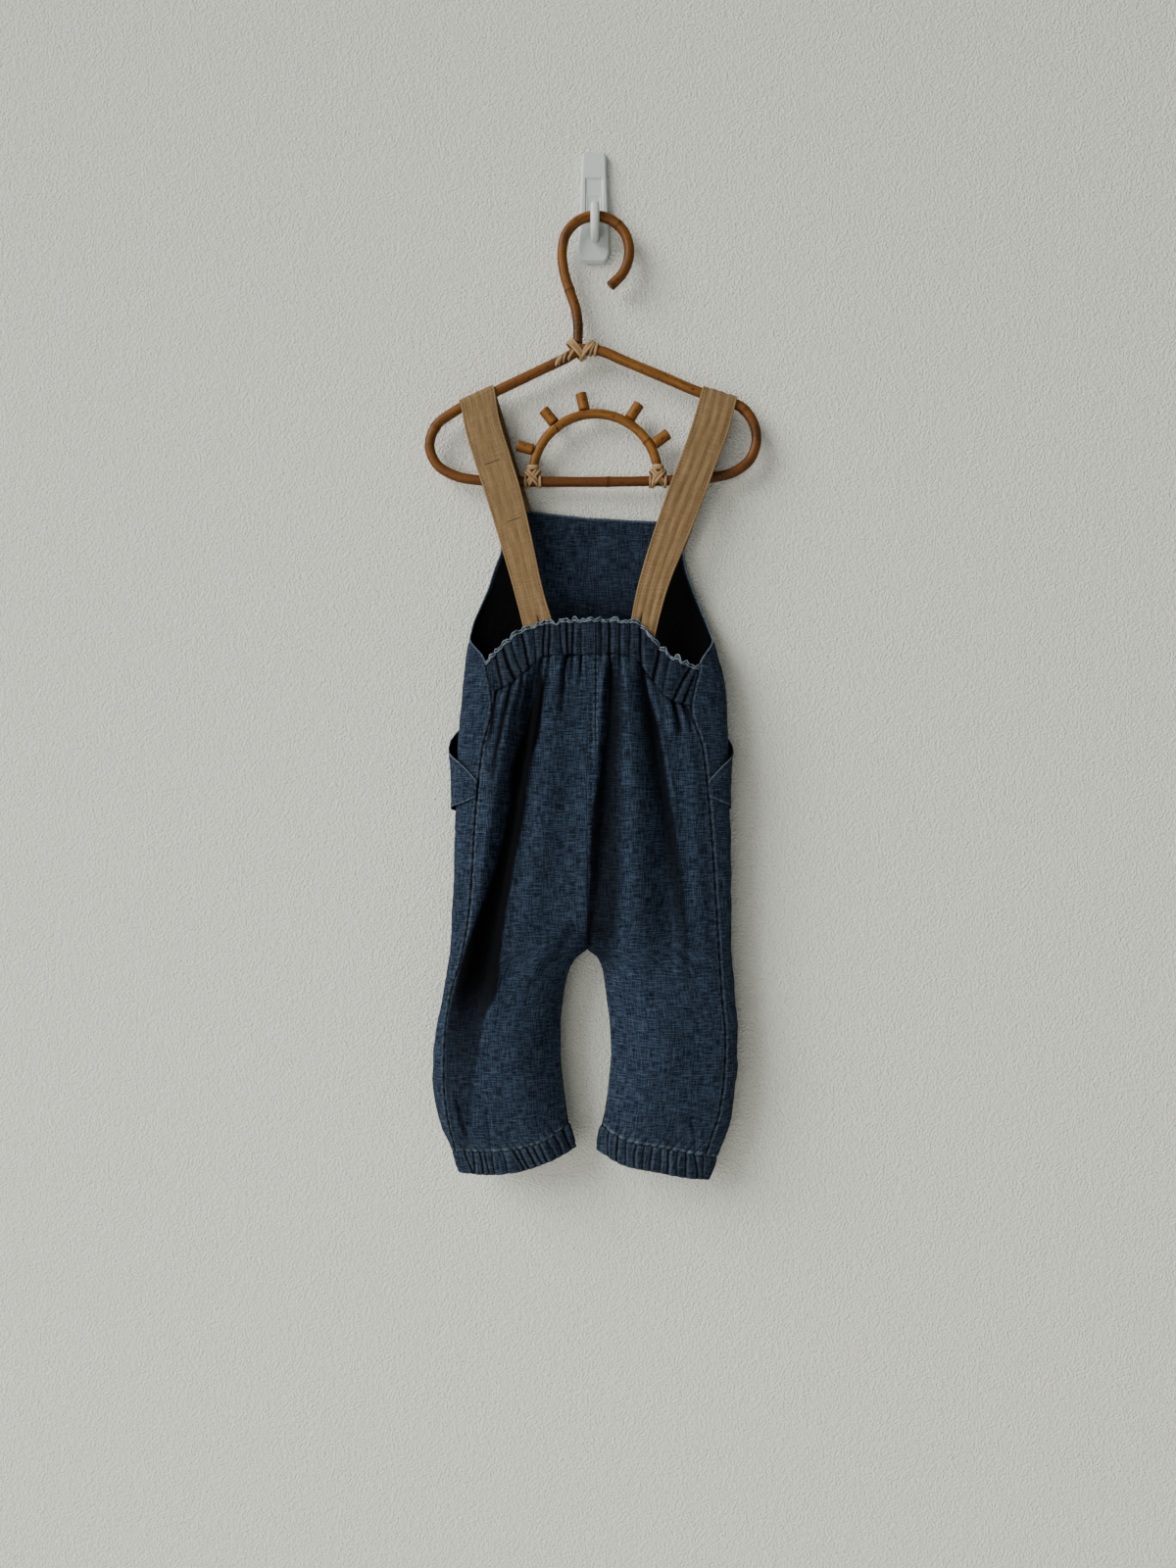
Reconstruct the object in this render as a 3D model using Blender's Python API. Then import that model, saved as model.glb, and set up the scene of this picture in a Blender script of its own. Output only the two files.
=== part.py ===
# Child's bib romper seen from the back, hanging by its straps on a rattan hanger and a wall hook
# Frame: origin at the centre of the wall hook's back face, +Y into the wall, +X to the photo's right, +Z up
# Sizes in the tables are millimetres. Drop is the distance below the origin and depth is the Y place
import math

import bmesh
import bpy
import numpy as np

MM = 0.001

# Cloth walls
DENIM_WALL = 1.4
CASING_WALL = 2.2
CUFF_WALL = 2.2
STRAP_WALL = 2.0
POCKET_WALL = 1.2
SEAM_HALF_GAP = 0.2
CASING_LIFT = 0.6
CUFF_LOWER = 0.7

# The body's middle line and the level where the legs part
MIDDLE_X = -6.0
CROTCH_DROP = 659.5
PINCH_DROP = 622.0
PINCH_POWER = 1.5
RING_STEPS = 96
FORM_STEP = 2.0
FORM_TOP = 270.0
FORM_FOOT = 866.0
FRONT_SQUARENESS = 3.0
BACK_SQUARENESS = 2.6
INNER_SHARE = 0.35
LEG_ROUNDNESS = 0.85

# Mesh steps
BIB_ROWS = 8
CASING_ROWS = 2
SEAT_ROWS = 12
LEG_ROWS = 10
BACK_COLUMNS = 17
WAIST_GATHERS = 22
CUFF_GATHERS = 28
STEPS_PER_GATHER = 4
CASING_ROW_SHARES = (0.0, 0.12, 0.5, 0.88, 1.0)
CUFF_ROW_SHARES = (0.0, 0.5, 1.0)
ANKLE_DROP = 830.0
WAIST_GATHER_DEPTH = 1.5
CUFF_GATHER_DEPTH = 1.6

# One row per level of the body: drop, left edge, right edge, front depth, edge depth, back depth
BODY_ROWS = [
    (270, -82.0, 80.0, -7.0, -8.0, -38.0),
    (307, -82.5, 80.0, -7.0, -8.5, -40.0),
    (325, -88.5, 82.5, -6.8, -9.5, -42.0),
    (342, -93.6, 87.7, -6.6, -11.0, -43.0),
    (359, -100.5, 93.8, -6.5, -14.0, -44.0),
    (376, -107.0, 100.4, -6.5, -18.0, -45.5),
    (390, -109.5, 104.6, -6.5, -22.0, -46.5),
    (411, -113.4, 110.8, -6.5, -25.0, -47.5),
    (436, -115.4, 115.2, -6.5, -26.5, -49.0),
    (470, -118.6, 116.8, -6.5, -27.5, -50.5),
    (520, -120.5, 117.4, -6.5, -28.0, -51.0),
    (560, -122.3, 119.2, -6.5, -28.0, -50.5),
    (600, -123.2, 119.4, -6.5, -27.5, -49.5),
    (644, -124.8, 120.0, -7.0, -27.0, -48.0),
    (866, -130.0, 120.0, -8.0, -27.0, -46.0),
]

# One row per level of the legs: drop, left outer and inner, right inner and outer, front depth, back depth
LEG_LEVELS = [
    (560, -122.3, -6.0, -6.0, 119.2, -6.5, -50.0),
    (644, -124.8, -6.0, -6.0, 120.0, -7.0, -48.0),
    (659.5, -126.0, -6.0, -6.0, 119.7, -7.5, -47.0),
    (667, -126.9, -15.0, 2.6, 120.6, -8.0, -46.5),
    (679, -128.8, -22.0, 7.6, 121.8, -8.0, -46.5),
    (700, -132.5, -26.5, 10.4, 123.6, -8.0, -47.0),
    (726, -137.2, -29.0, 13.6, 125.2, -8.0, -48.0),
    (750, -140.6, -29.0, 14.6, 125.5, -8.0, -48.0),
    (775, -141.0, -27.0, 12.6, 124.0, -8.5, -47.5),
    (795, -138.8, -24.6, 10.2, 121.6, -9.5, -46.0),
    (814, -133.0, -22.6, 7.2, 118.6, -11.0, -44.0),
    (836, -122.6, -16.8, 3.8, 108.8, -12.5, -42.0),
    (866, -114.0, -13.0, 2.0, 97.0, -13.0, -41.0),
]

# Where the side seams lie on the back: drop, left, right
SIDE_SEAMS = [
    (374, -104.0, 98.0),
    (411, -94.0, 91.8),
    (450, -88.0, 83.4),
    (485, -96.0, 93.5),
    (540, -102.0, 99.8),
    (616, -107.0, 105.3),
    (660, -113.5, 108.0),
    (700, -124.5, 110.4),
    (735, -129.0, 113.4),
    (770, -129.8, 112.1),
    (800, -127.6, 107.9),
    (836, -119.5, 97.0),
    (866, -112.0, 92.0),
]

# The casing's long edges: place from the left seam (-1) by the middle (0) to the right seam (1), top, foot
CASING_EDGES = [
    (-1.0, 411.4, 436.6),
    (-0.8, 396.0, 430.5),
    (-0.6, 384.0, 418.0),
    (-0.4, 377.5, 406.0),
    (-0.2, 375.0, 404.8),
    (0.0, 374.3, 404.6),
    (0.2, 374.3, 403.5),
    (0.4, 376.5, 407.5),
    (0.6, 396.0, 427.5),
    (0.8, 408.5, 444.0),
    (1.0, 415.6, 449.2),
]

# Front panel levels at the left edge, the middle and the right edge
BIB_TOP = (270.2, 278.7, 283.3)
ARMHOLE_FOOT = (411.4, 413.5, 415.6)
WAIST_LEVEL = (436.6, 442.0, 449.2)
ARMHOLE_TURN = 380.0

# Cuff edges: share of the way from the inner to the outer edge, left top, left foot, right top, right foot
CUFF_EDGES = [
    (0.0, 812.0, 833.0, 814.0, 835.0),
    (0.25, 825.0, 842.5, 825.0, 845.5),
    (0.5, 832.0, 850.5, 829.5, 850.5),
    (0.75, 834.0, 853.5, 836.0, 856.0),
    (1.0, 834.5, 853.0, 841.0, 860.0),
]

# Large folds of the back: start, middle and end as drop and x, half width at the start and the end,
# lean (positive is steeper on the right) and depth into the body
BACK_FOLDS = [
    (414, -48.0, 590, -79.0, 750, -108.0, 4.5, 13.0, 0.45, 14.0),
    (410, 43.0, 541, 60.5, 700, 69.0, 5.0, 13.0, 0.5, 7.5),
    (408, 13.0, 530, 8.0, 652, 0.5, 3.5, 12.0, -0.4, 7.0),
    (430, -37.0, 560, -48.0, 690, -70.0, 13.0, 17.0, 0.0, -3.5),
    (430, 29.0, 560, 36.0, 690, 44.0, 12.0, 17.0, 0.0, -3.0),
    (460, 84.0, 560, 91.0, 700, 95.0, 9.0, 12.0, 0.0, -2.0),
    (440, -75.0, 520, -86.0, 630, -102.0, 7.0, 8.0, 0.0, -2.5),
    (700, -75.0, 760, -70.0, 822, -66.0, 16.0, 16.0, 0.0, -2.5),
    (700, 62.0, 760, 58.0, 822, 60.0, 18.0, 18.0, 0.0, -2.5),
]

# Large folds of the front, in the same columns
FRONT_FOLDS = [
    (430, -40.0, 560, -62.0, 740, -96.0, 11.0, 14.0, 0.0, 4.5),
    (430, 34.0, 560, 56.0, 740, 84.0, 11.0, 14.0, 0.0, 4.5),
    (450, -4.0, 560, -5.0, 650, -6.0, 10.0, 10.0, 0.0, 3.0),
    (700, -70.0, 760, -72.0, 824, -74.0, 13.0, 13.0, 0.0, 3.5),
    (700, 64.0, 760, 64.0, 824, 66.0, 13.0, 13.0, 0.0, 3.5),
]

# How far a fold takes to fade in and out, how wide its raised lips are, and how near a seam it lies flat
FOLD_FADE_IN = 30.0
FOLD_FADE_OUT = 75.0
FOLD_EARLY = 6.0
LIP_PLACE = 1.9
LIP_SHARE = 0.25
SEAM_FLAT = 16.0
INNER_FLAT = 14.0

# Columns of each half of the front, as shares of the way from its middle to its edge
FRONT_COLUMNS = (0.0, 0.12, 0.24, 0.36, 0.48, 0.58, 0.66, 0.73, 0.79, 0.84, 0.89, 0.94, 1.0)

# Pocket edges: place on the front panel's columns, mouth drop, foot drop
POCKET_EDGES = [
    (0.985, 511.5, 527.5),
    (0.94, 504.5, 530.5),
    (0.89, 497.5, 533.5),
    (0.84, 491.0, 536.0),
    (0.79, 484.0, 538.5),
    (0.73, 472.0, 540.5),
    (0.66, 459.0, 543.0),
    (0.58, 451.5, 545.0),
    (0.48, 447.5, 545.0),
]
POCKET_ROWS = 5
POCKET_LIFT = 2.1
POCKET_GAPE = 2.4

# How far each pocket stands out over the hip, left and right, and the place and width of that bulge
POCKET_BULGES = {-1: 3.6, 1: 0.5}
BULGE_PLACE = 0.77
BULGE_WIDTH = 0.13
BULGE_FALL = 0.25

# Straps from the bib's outer face up to the hanger: left x and drop, right x and drop, depth
LEFT_STRAP_FRONT = [
    (-72.6, 318.0, -44.0, 309.0, -4.7),
    (-84.4, 281.0, -55.8, 272.0, -4.9),
    (-93.4, 253.0, -64.8, 244.0, -5.9),
    (-98.3, 237.5, -69.7, 228.4, -6.4),
    (-110.0, 202.0, -80.5, 190.0, -7.9),
]
RIGHT_STRAP_FRONT = [
    (47.4, 311.0, 75.6, 321.0, -4.7),
    (59.8, 277.0, 88.0, 287.0, -4.9),
    (70.0, 247.0, 98.4, 257.0, -5.9),
    (76.0, 229.5, 104.4, 239.5, -6.4),
    (88.0, 194.0, 117.0, 204.0, -7.9),
]

# Straps from the hanger down to the casing, in the same columns
LEFT_STRAP_BACK = [
    (-113.5, 203.0, -84.0, 190.5, -21.2),
    (-103.8, 236.0, -74.0, 225.0, -25.0),
    (-95.0, 263.0, -65.6, 253.0, -28.0),
    (-82.8, 302.8, -56.0, 293.0, -32.0),
    (-68.0, 353.8, -43.6, 350.0, -37.0),
    (-60.6, 383.0, -36.2, 376.0, -40.0),
    (-56.0, 402.0, -32.0, 396.0, -41.0),
]
RIGHT_STRAP_BACK = [
    (88.0, 193.0, 118.8, 204.0, -21.2),
    (77.0, 226.0, 107.0, 236.0, -25.0),
    (66.6, 253.0, 97.0, 263.0, -28.0),
    (53.5, 291.0, 82.0, 301.0, -32.0),
    (36.5, 350.0, 62.0, 352.0, -37.0),
    (32.0, 374.0, 54.5, 380.0, -40.0),
    (30.0, 396.0, 50.0, 402.0, -41.0),
]

# Where each strap crosses the hanger's top bar, on the bar's middle line: left x and drop, right x and drop
LEFT_CROSSING = (-117.2, 182.4, -87.2, 168.4)
RIGHT_CROSSING = (94.6, 169.8, 125.2, 179.6)
STRAP_WRAP_RADIUS = 6.3
WRAP_STEPS = 8
STRAP_FRONT_STEPS = 14
STRAP_BACK_STEPS = 22
STRAP_COLUMNS = 4

# The hanger, bent from cane in one plane
HANGER_DEPTH = -14.0
CANE_RADIUS = 4.5
FRAME_PATH = [
    (-8.0, 131.0), (5.0, 132.6), (26.0, 141.2), (60.0, 155.3), (93.9, 169.5), (116.0, 176.6), (129.6, 182.0),
    (139.6, 193.5), (143.6, 212.0), (138.0, 228.5), (124.6, 239.4), (102.1, 245.0), (60.0, 247.4),
    (2.5, 248.5), (-50.0, 248.3), (-100.6, 247.2), (-122.2, 243.3), (-138.7, 233.3), (-145.4, 216.9),
    (-139.6, 199.0), (-123.4, 186.3), (-88.8, 169.5), (-60.0, 155.8), (-26.0, 139.6),
]
FRAME_STEPS = 66
CANE_SIDES = 8
HOOK_PATH = [
    (14.5, 75.5), (26.0, 63.0), (31.2, 44.0), (26.6, 27.5), (14.6, 16.6), (1.0, 13.2), (-13.5, 17.4),
    (-24.6, 29.0), (-28.2, 45.0), (-26.8, 61.0), (-21.2, 80.5), (-16.4, 94.7), (-14.2, 109.0), (-14.4, 125.6),
]
HOOK_STEPS = 38
ARC_CENTRE = (1.2, 243.7)
ARC_RADIUS = 55.4
ARC_CANE_RADIUS = 4.2
ARC_FOOT_DROP = 242.6
BAR_DROP = 248.0
ARC_STEPS = 22

# Rays round the arc: direction of the place, direction of the axis, both in degrees from the right
RAYS = [(157.0, 164.0), (127.6, 129.0), (99.3, 103.0), (59.3, 57.0), (29.0, 36.0)]
RAY_RADIUS = 5.0
RAY_LENGTH = 14.6
RAY_GAP = 0.35
RAY_SIDES = 10

# Lashings of split cane
LASHING_WALL = 1.5
LASHING_GAP = 0.35
LASHING_SIDES = 12
FOOT_LASHING_HALF = 8.5
FOOT_LASHING_RISE = 14.5
TOP_LASHING_LEFT = (-31.0, 142.0)
TOP_LASHING_RIGHT = (4.5, 132.4)
TOP_LASHING_MIDDLE = (-8.0, 131.0)
TOP_LASHING_RISE = 120.0
STEM_X = -14.4

# The wall hook: half width and drop of its outline, then the arm's outline as depth and drop
PLATE_OUTLINE = [
    (8.0, -48.5), (10.6, -46.4), (11.6, -42.0), (12.8, -10.0), (14.0, 20.0), (14.6, 42.0), (13.2, 47.6),
    (9.0, 50.4),
]
PLATE_THICKNESS = 6.0
PLATE_EDGE = 1.8
RECESS_HALF_WIDTH = 8.2
RECESS_TOP = -24.0
RECESS_FOOT = 12.0
RECESS_DEPTH = 1.0
ARM_HALF_WIDTH = 3.9
ARM_MIDDLE_X = 0.8
ARM_OUTLINE = [
    (-6.3, 18.2), (-15.5, 18.2), (-18.6, 16.6), (-19.2, 13.0), (-19.4, 6.0), (-20.6, 3.9), (-22.6, 3.4),
    (-24.6, 4.2), (-25.8, 6.6), (-26.4, 18.0), (-25.2, 27.0), (-21.6, 33.0), (-15.0, 34.8), (-6.3, 33.0),
]
ARM_EDGE = 1.4

# Looks
DENIM_COLOUR = (0.016, 0.027, 0.045)
STRAP_COLOUR = (0.25, 0.16, 0.085)
CANE_COLOUR = (0.19, 0.075, 0.025)
LASHING_COLOUR = (0.33, 0.20, 0.10)
PLASTIC_COLOUR = (0.55, 0.58, 0.57)


def clear_scene():
    for item in list(bpy.data.objects):
        bpy.data.objects.remove(item, do_unlink=True)


def material(name, colour, roughness):
    made = bpy.data.materials.new(name)
    made.use_nodes = True
    shader = made.node_tree.nodes["Principled BSDF"]
    shader.inputs["Base Color"].default_value = (*colour, 1.0)
    shader.inputs["Roughness"].default_value = roughness
    shader.inputs["Metallic"].default_value = 0.0
    return made


def smooth_values(at, places, values):
    """A curve through the table's values that never overshoots them."""
    places, values = np.asarray(places, float), np.asarray(values, float)
    steps = np.diff(places)
    slopes = np.diff(values) / steps
    tangents = np.zeros(len(places))
    same = slopes[1:] * slopes[:-1] > 0
    both = slopes[1:] + slopes[:-1]
    tangents[1:-1][same] = 2 * slopes[1:][same] * slopes[:-1][same] / both[same]
    tangents[0], tangents[-1] = slopes[0], slopes[-1]
    at = np.clip(at, places[0], places[-1])
    row = np.clip(np.searchsorted(places, at, side="right") - 1, 0, len(steps) - 1)
    share = (at - places[row]) / steps[row]
    rise = share * share * (3 - 2 * share)
    return (
        values[row] * (1 - rise)
        + values[row + 1] * rise
        + tangents[row] * steps[row] * share * (1 - share) ** 2
        - tangents[row + 1] * steps[row] * share**2 * (1 - share)
    )


def column(rows, index):
    return [row[index] for row in rows]


def table_value(rows, index, at):
    return smooth_values(at, column(rows, 0), column(rows, index))


def eased(share):
    share = np.clip(share, 0.0, 1.0)
    return share * share * (3 - 2 * share)


def even_steps(curve, count):
    """The curve's points spread evenly along its length."""
    lengths = np.hypot(*np.diff(curve, axis=0).T)
    run = np.concatenate([[0.0], np.cumsum(lengths)])
    at = np.linspace(0.0, run[-1], count)
    return np.stack([np.interp(at, run, curve[:, axis]) for axis in (0, 1)], axis=1)


def body_curve(side, drop):
    """Half of the trunk's outline at this level, from centre front by the side to centre back."""
    edge_x = float(table_value(BODY_ROWS, 1 if side < 0 else 2, drop)) - side * DENIM_WALL / 2
    front, edge, back = (float(table_value(BODY_ROWS, index, drop)) for index in (3, 4, 5))
    turn = np.linspace(0.0, math.pi / 2, 49)
    half_width = edge_x - MIDDLE_X
    fore_x = MIDDLE_X + half_width * np.sin(turn) ** (2 / FRONT_SQUARENESS)
    fore_y = edge + (front - edge) * np.cos(turn) ** (2 / FRONT_SQUARENESS)
    rear_x = MIDDLE_X + half_width * np.cos(turn) ** (2 / BACK_SQUARENESS)
    rear_y = edge + (back - edge) * np.sin(turn) ** (2 / BACK_SQUARENESS)
    curve = np.stack([np.concatenate([fore_x, rear_x[1:]]), np.concatenate([fore_y, rear_y[1:]])], axis=1)
    return even_steps(curve, RING_STEPS + 1)


def leg_curve(side, drop):
    """One leg's whole outline at this level, from its inner edge by the front and the outer edge and back."""
    outer_index, inner_index = (1, 2) if side < 0 else (4, 3)
    outer = float(table_value(LEG_LEVELS, outer_index, drop)) - side * DENIM_WALL / 2
    inner = float(table_value(LEG_LEVELS, inner_index, drop))
    front, back = float(table_value(LEG_LEVELS, 5, drop)), float(table_value(LEG_LEVELS, 6, drop))
    middle = (front + back) / 2
    rise = np.linspace(0.0, 1.0, 25)
    turn = np.linspace(0.0, math.pi / 2, 41)[1:]
    outward = INNER_SHARE + (1 - INNER_SHARE) * np.sin(turn) ** LEG_ROUNDNESS
    across = np.concatenate([INNER_SHARE * rise, outward])
    depth = np.concatenate([1 - (1 - rise) ** 2, np.cos(turn) ** LEG_ROUNDNESS])
    x = inner + (outer - inner) * across
    fore = np.stack([x, middle + (front - middle) * depth], axis=1)
    rear = np.stack([x, middle + (back - middle) * depth], axis=1)[::-1]
    return even_steps(np.concatenate([fore, rear[1:]]), RING_STEPS + 1)


def ring(side, drop):
    """Half a body level: the trunk's outline, turning into the leg's as the crotch comes near."""
    share = float(eased((drop - PINCH_DROP) / (CROTCH_DROP - PINCH_DROP))) ** PINCH_POWER
    if share <= 0.0:
        return body_curve(side, drop)
    if share >= 1.0:
        return leg_curve(side, drop)
    return (1 - share) * body_curve(side, drop) + share * leg_curve(side, drop)


FORM_DROPS = np.arange(FORM_TOP, FORM_FOOT + FORM_STEP / 2, FORM_STEP)
FORMS = {side: np.array([ring(side, drop) for drop in FORM_DROPS]) for side in (-1, 1)}
EDGE_SHARES = {side: np.argmax(side * FORMS[side][:, :, 0], axis=1) / RING_STEPS for side in (-1, 1)}


def form_row(side, drop):
    place = np.clip((drop - FORM_TOP) / FORM_STEP, 0, len(FORM_DROPS) - 1.001)
    low = int(place)
    return FORMS[side][low] * (1 - (place - low)) + FORMS[side][low + 1] * (place - low)


def form_point(side, share, drop):
    """The plain form's x and depth at a share of the way round the half level."""
    row = form_row(side, drop)
    at = np.linspace(0.0, 1.0, RING_STEPS + 1)
    return np.array([np.interp(share, at, row[:, 0]), np.interp(share, at, row[:, 1])])


def round_length(side, drop):
    return float(np.hypot(*np.diff(form_row(side, drop), axis=0).T).sum())


def edge_share(side, drop):
    return float(np.interp(drop, FORM_DROPS, EDGE_SHARES[side]))


def seam_share(side, drop):
    """How far round the half level the side seam lies."""
    target = float(table_value(SIDE_SEAMS, 1 if side < 0 else 2, drop))
    row = form_row(side, drop)
    start = int(np.argmax(side * row[:, 0]))
    x = side * row[start:, 0]
    at = np.linspace(start / RING_STEPS, 1.0, len(x))
    return float(np.interp(-side * target, -x, at))


def front_edge_share(side, drop):
    """The front panel's edge: the armhole above the waist and the side seam below it."""
    foot = ARMHOLE_FOOT[0 if side < 0 else 2]
    if drop >= foot:
        return seam_share(side, drop)
    toward = float(eased((drop - ARMHOLE_TURN) / (foot - ARMHOLE_TURN)))
    return edge_share(side, drop) * (1 - toward) + seam_share(side, foot) * toward


def fold_depth(folds, x, drop):
    """How far the folds push a point into the body."""
    total = 0.0
    for drop_a, x_a, drop_b, x_b, drop_c, x_c, first_width, last_width, lean, depth in folds:
        line = float(smooth_values(drop, (drop_a, drop_b, drop_c), (x_a, x_b, x_c)))
        along = min(1.0, max(0.0, (drop - drop_a) / (drop_c - drop_a)))
        width = (first_width + (last_width - first_width) * along) * (1 - lean if x > line else 1 + lean)
        begin = eased((drop - drop_a + FOLD_EARLY) / FOLD_FADE_IN)
        ends = float(begin * eased((drop_c - drop) / FOLD_FADE_OUT))
        away = abs(x - line) / width
        lips = LIP_SHARE * math.exp(-((away - LIP_PLACE) ** 2))
        total += depth * ends * (math.exp(-away * away) - lips)
    return total


def leg_amount(drop):
    return float(eased((drop - PINCH_DROP) / (CROTCH_DROP - PINCH_DROP)))


def cloth_point(side, share, drop, seam, folds, inward):
    """A point of the folded cloth, which lies flat again at its seams."""
    x, depth = form_point(side, share, drop)
    length = round_length(side, drop)
    from_seam = float(eased(abs(share - seam) * length / SEAM_FLAT))
    to_middle = (1 - share) if folds is BACK_FOLDS else share
    from_inner = float(eased(to_middle * length / INNER_FLAT))
    keep = from_seam * (1 - leg_amount(drop) * (1 - from_inner))
    return np.array([x, depth + inward * keep * fold_depth(folds, x, drop), -drop])


def front_point(side, share_of_edge, drop):
    edge = front_edge_share(side, drop)
    gap = SEAM_HALF_GAP / round_length(side, drop)
    share = max(share_of_edge * (edge - gap), gap)
    return cloth_point(side, share, drop, edge, FRONT_FOLDS, -1)


def back_point(side, share_of_edge, drop):
    """The back runs from the side seam (1) to the middle (0)."""
    seam = seam_share(side, drop)
    gap = SEAM_HALF_GAP / round_length(side, drop)
    share = 1 - share_of_edge * (1 - seam - gap)
    point = cloth_point(side, min(share, 1 - gap), drop, seam, BACK_FOLDS, 1)
    if share_of_edge == 0.0:
        point[0] += side * SEAM_HALF_GAP
    return point


def level(levels, across):
    """A value between a table's left, middle and right entries."""
    left, middle, right = levels
    return middle + (left - middle) * -across if across < 0 else middle + (right - middle) * across


def cuff_line(side, share, foot):
    """Drop of a cuff's top or foot at a share of the way round the leg."""
    across = 2 * min(share, 1 - share)
    index = (1 if side < 0 else 3) + (1 if foot else 0)
    return float(table_value(CUFF_EDGES, index, across))


def vertex_normals(points, faces):
    corners = points[np.array(faces)]
    crosses = np.cross(corners[:, 2] - corners[:, 0], corners[:, 3] - corners[:, 1])
    normals = np.zeros_like(points)
    for corner in range(4):
        np.add.at(normals, np.array(faces)[:, corner], crosses)
    return normals / np.maximum(np.linalg.norm(normals, axis=1, keepdims=True), 1e-12)


def finish_object(name, vertices, faces, look):
    mesh = bpy.data.meshes.new(name)
    mesh.from_pydata([tuple(float(v) * MM for v in point) for point in vertices], [], faces)
    made = bmesh.new()
    made.from_mesh(mesh)
    bmesh.ops.recalc_face_normals(made, faces=made.faces)
    made.to_mesh(mesh)
    made.free()
    mesh.materials.append(look)
    for face in mesh.polygons:
        face.use_smooth = True
    thing = bpy.data.objects.new(name, mesh)
    bpy.context.collection.objects.link(thing)
    return thing


def cloth_wall(name, points, faces, thickness, look, trim=None):
    """Gives a sheet of quads its thickness and closes its edges."""
    points = np.array(points)
    normals = vertex_normals(points, faces)
    outer = points + normals * thickness / 2
    inner = points - normals * thickness / 2
    if trim is not None:
        trim(outer)
        trim(inner)
    count = len(points)
    edges = {}
    for face in faces:
        for a, b in zip(face, face[1:] + face[:1]):
            edges[(a, b)] = True
    rim = [(b, a, a + count, b + count) for a, b in edges if (b, a) not in edges]
    walls = list(faces) + [tuple(i + count for i in reversed(face)) for face in faces] + rim
    finish_object(name, np.concatenate([outer, inner]), walls, look)
    return points, normals


def grid_faces(rows, columns, start=0, closed=False):
    faces = []
    for row in range(rows - 1):
        for step in range(columns if closed else columns - 1):
            following = (step + 1) % columns
            a, b = start + row * columns + step, start + row * columns + following
            faces.append((a, b, b + columns, a + columns))
    return faces


def front_levels():
    """Rows of the trunk part of the front, each as its three levels."""
    rows = []
    for top, foot, count in (
        (BIB_TOP, ARMHOLE_FOOT, BIB_ROWS),
        (ARMHOLE_FOOT, WAIST_LEVEL, CASING_ROWS),
        (WAIST_LEVEL, (CROTCH_DROP,) * 3, SEAT_ROWS),
    ):
        for step in range(count):
            rows.append([a + (b - a) * step / count for a, b in zip(top, foot)])
    rows.append([CROTCH_DROP] * 3)
    return rows


def build_front(look):
    """Bib, trunk front and both leg fronts, one piece that wraps round to the side seams."""
    shares = [-share for share in reversed(FRONT_COLUMNS[1:])] + list(FRONT_COLUMNS)
    columns = len(shares)
    rows = front_levels()
    points = []
    for levels in rows:
        for across in shares:
            points.append(front_point(-1 if across < 0 else 1, abs(across), level(levels, across)))
    for row in range(len(rows)):
        points[row * columns + columns // 2][0] = MIDDLE_X
    faces = grid_faces(len(rows), columns)
    last_row = (len(rows) - 1) * columns
    half = len(FRONT_COLUMNS)
    inner_edge = {last_row + half - 1: CROTCH_DROP}
    for side in (-1, 1):
        first = 0 if side < 0 else half - 1
        own_shares = shares[first : first + half]
        previous = list(range(last_row + first, last_row + first + half))
        for step in range(1, LEG_ROWS + 1):
            current = []
            for across in own_shares:
                share_round = abs(across) * front_edge_share(side, ANKLE_DROP)
                foot = cuff_line(side, share_round, False) - SEAM_HALF_GAP
                drop = CROTCH_DROP + (foot - CROTCH_DROP) * step / LEG_ROWS
                if across == 0.0:
                    inner_edge[len(points)] = drop
                current.append(len(points))
                points.append(front_point(side, abs(across), drop))
            for a, b, c, d in zip(previous, previous[1:], current[1:], current):
                faces.append((a, b, c, d))
            previous = current

    def trim(surface):
        for index, drop in inner_edge.items():
            middle = (table_value(LEG_LEVELS, 5, drop) + table_value(LEG_LEVELS, 6, drop)) / 2
            surface[index][1] = max(surface[index][1], float(middle) + SEAM_HALF_GAP)

    points, normals = cloth_wall("front", points, faces, DENIM_WALL, look, trim)
    trunk = len(rows) * columns
    return points[:trunk].reshape(len(rows), columns, 3), normals[:trunk].reshape(len(rows), columns, 3)


def build_back(name, side, look):
    """One back half from the casing's seam down its leg."""
    points = []
    inner_edge = {}
    for row in range(SEAT_ROWS + LEG_ROWS + 1):
        for step in range(BACK_COLUMNS + 1):
            across = 1 - step / BACK_COLUMNS
            top = float(table_value(CASING_EDGES, 2, side * across)) + SEAM_HALF_GAP
            if row <= SEAT_ROWS:
                drop = top + (CROTCH_DROP - top) * row / SEAT_ROWS
            else:
                share_round = 1 - across * (1 - seam_share(side, ANKLE_DROP))
                foot = cuff_line(side, share_round, False) - SEAM_HALF_GAP
                drop = CROTCH_DROP + (foot - CROTCH_DROP) * (row - SEAT_ROWS) / LEG_ROWS
            if step == BACK_COLUMNS and row >= SEAT_ROWS:
                inner_edge[len(points)] = drop
            points.append(back_point(side, across, drop))
    faces = grid_faces(SEAT_ROWS + LEG_ROWS + 1, BACK_COLUMNS + 1)

    def trim(surface):
        limit = MIDDLE_X + side * SEAM_HALF_GAP
        surface[:, 0] = np.minimum(surface[:, 0], limit) if side < 0 else np.maximum(surface[:, 0], limit)
        for index, drop in inner_edge.items():
            middle = (table_value(LEG_LEVELS, 5, drop) + table_value(LEG_LEVELS, 6, drop)) / 2
            surface[index][1] = min(surface[index][1], float(middle) - SEAM_HALF_GAP)

    cloth_wall(name, points, faces, DENIM_WALL, look, trim)


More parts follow.
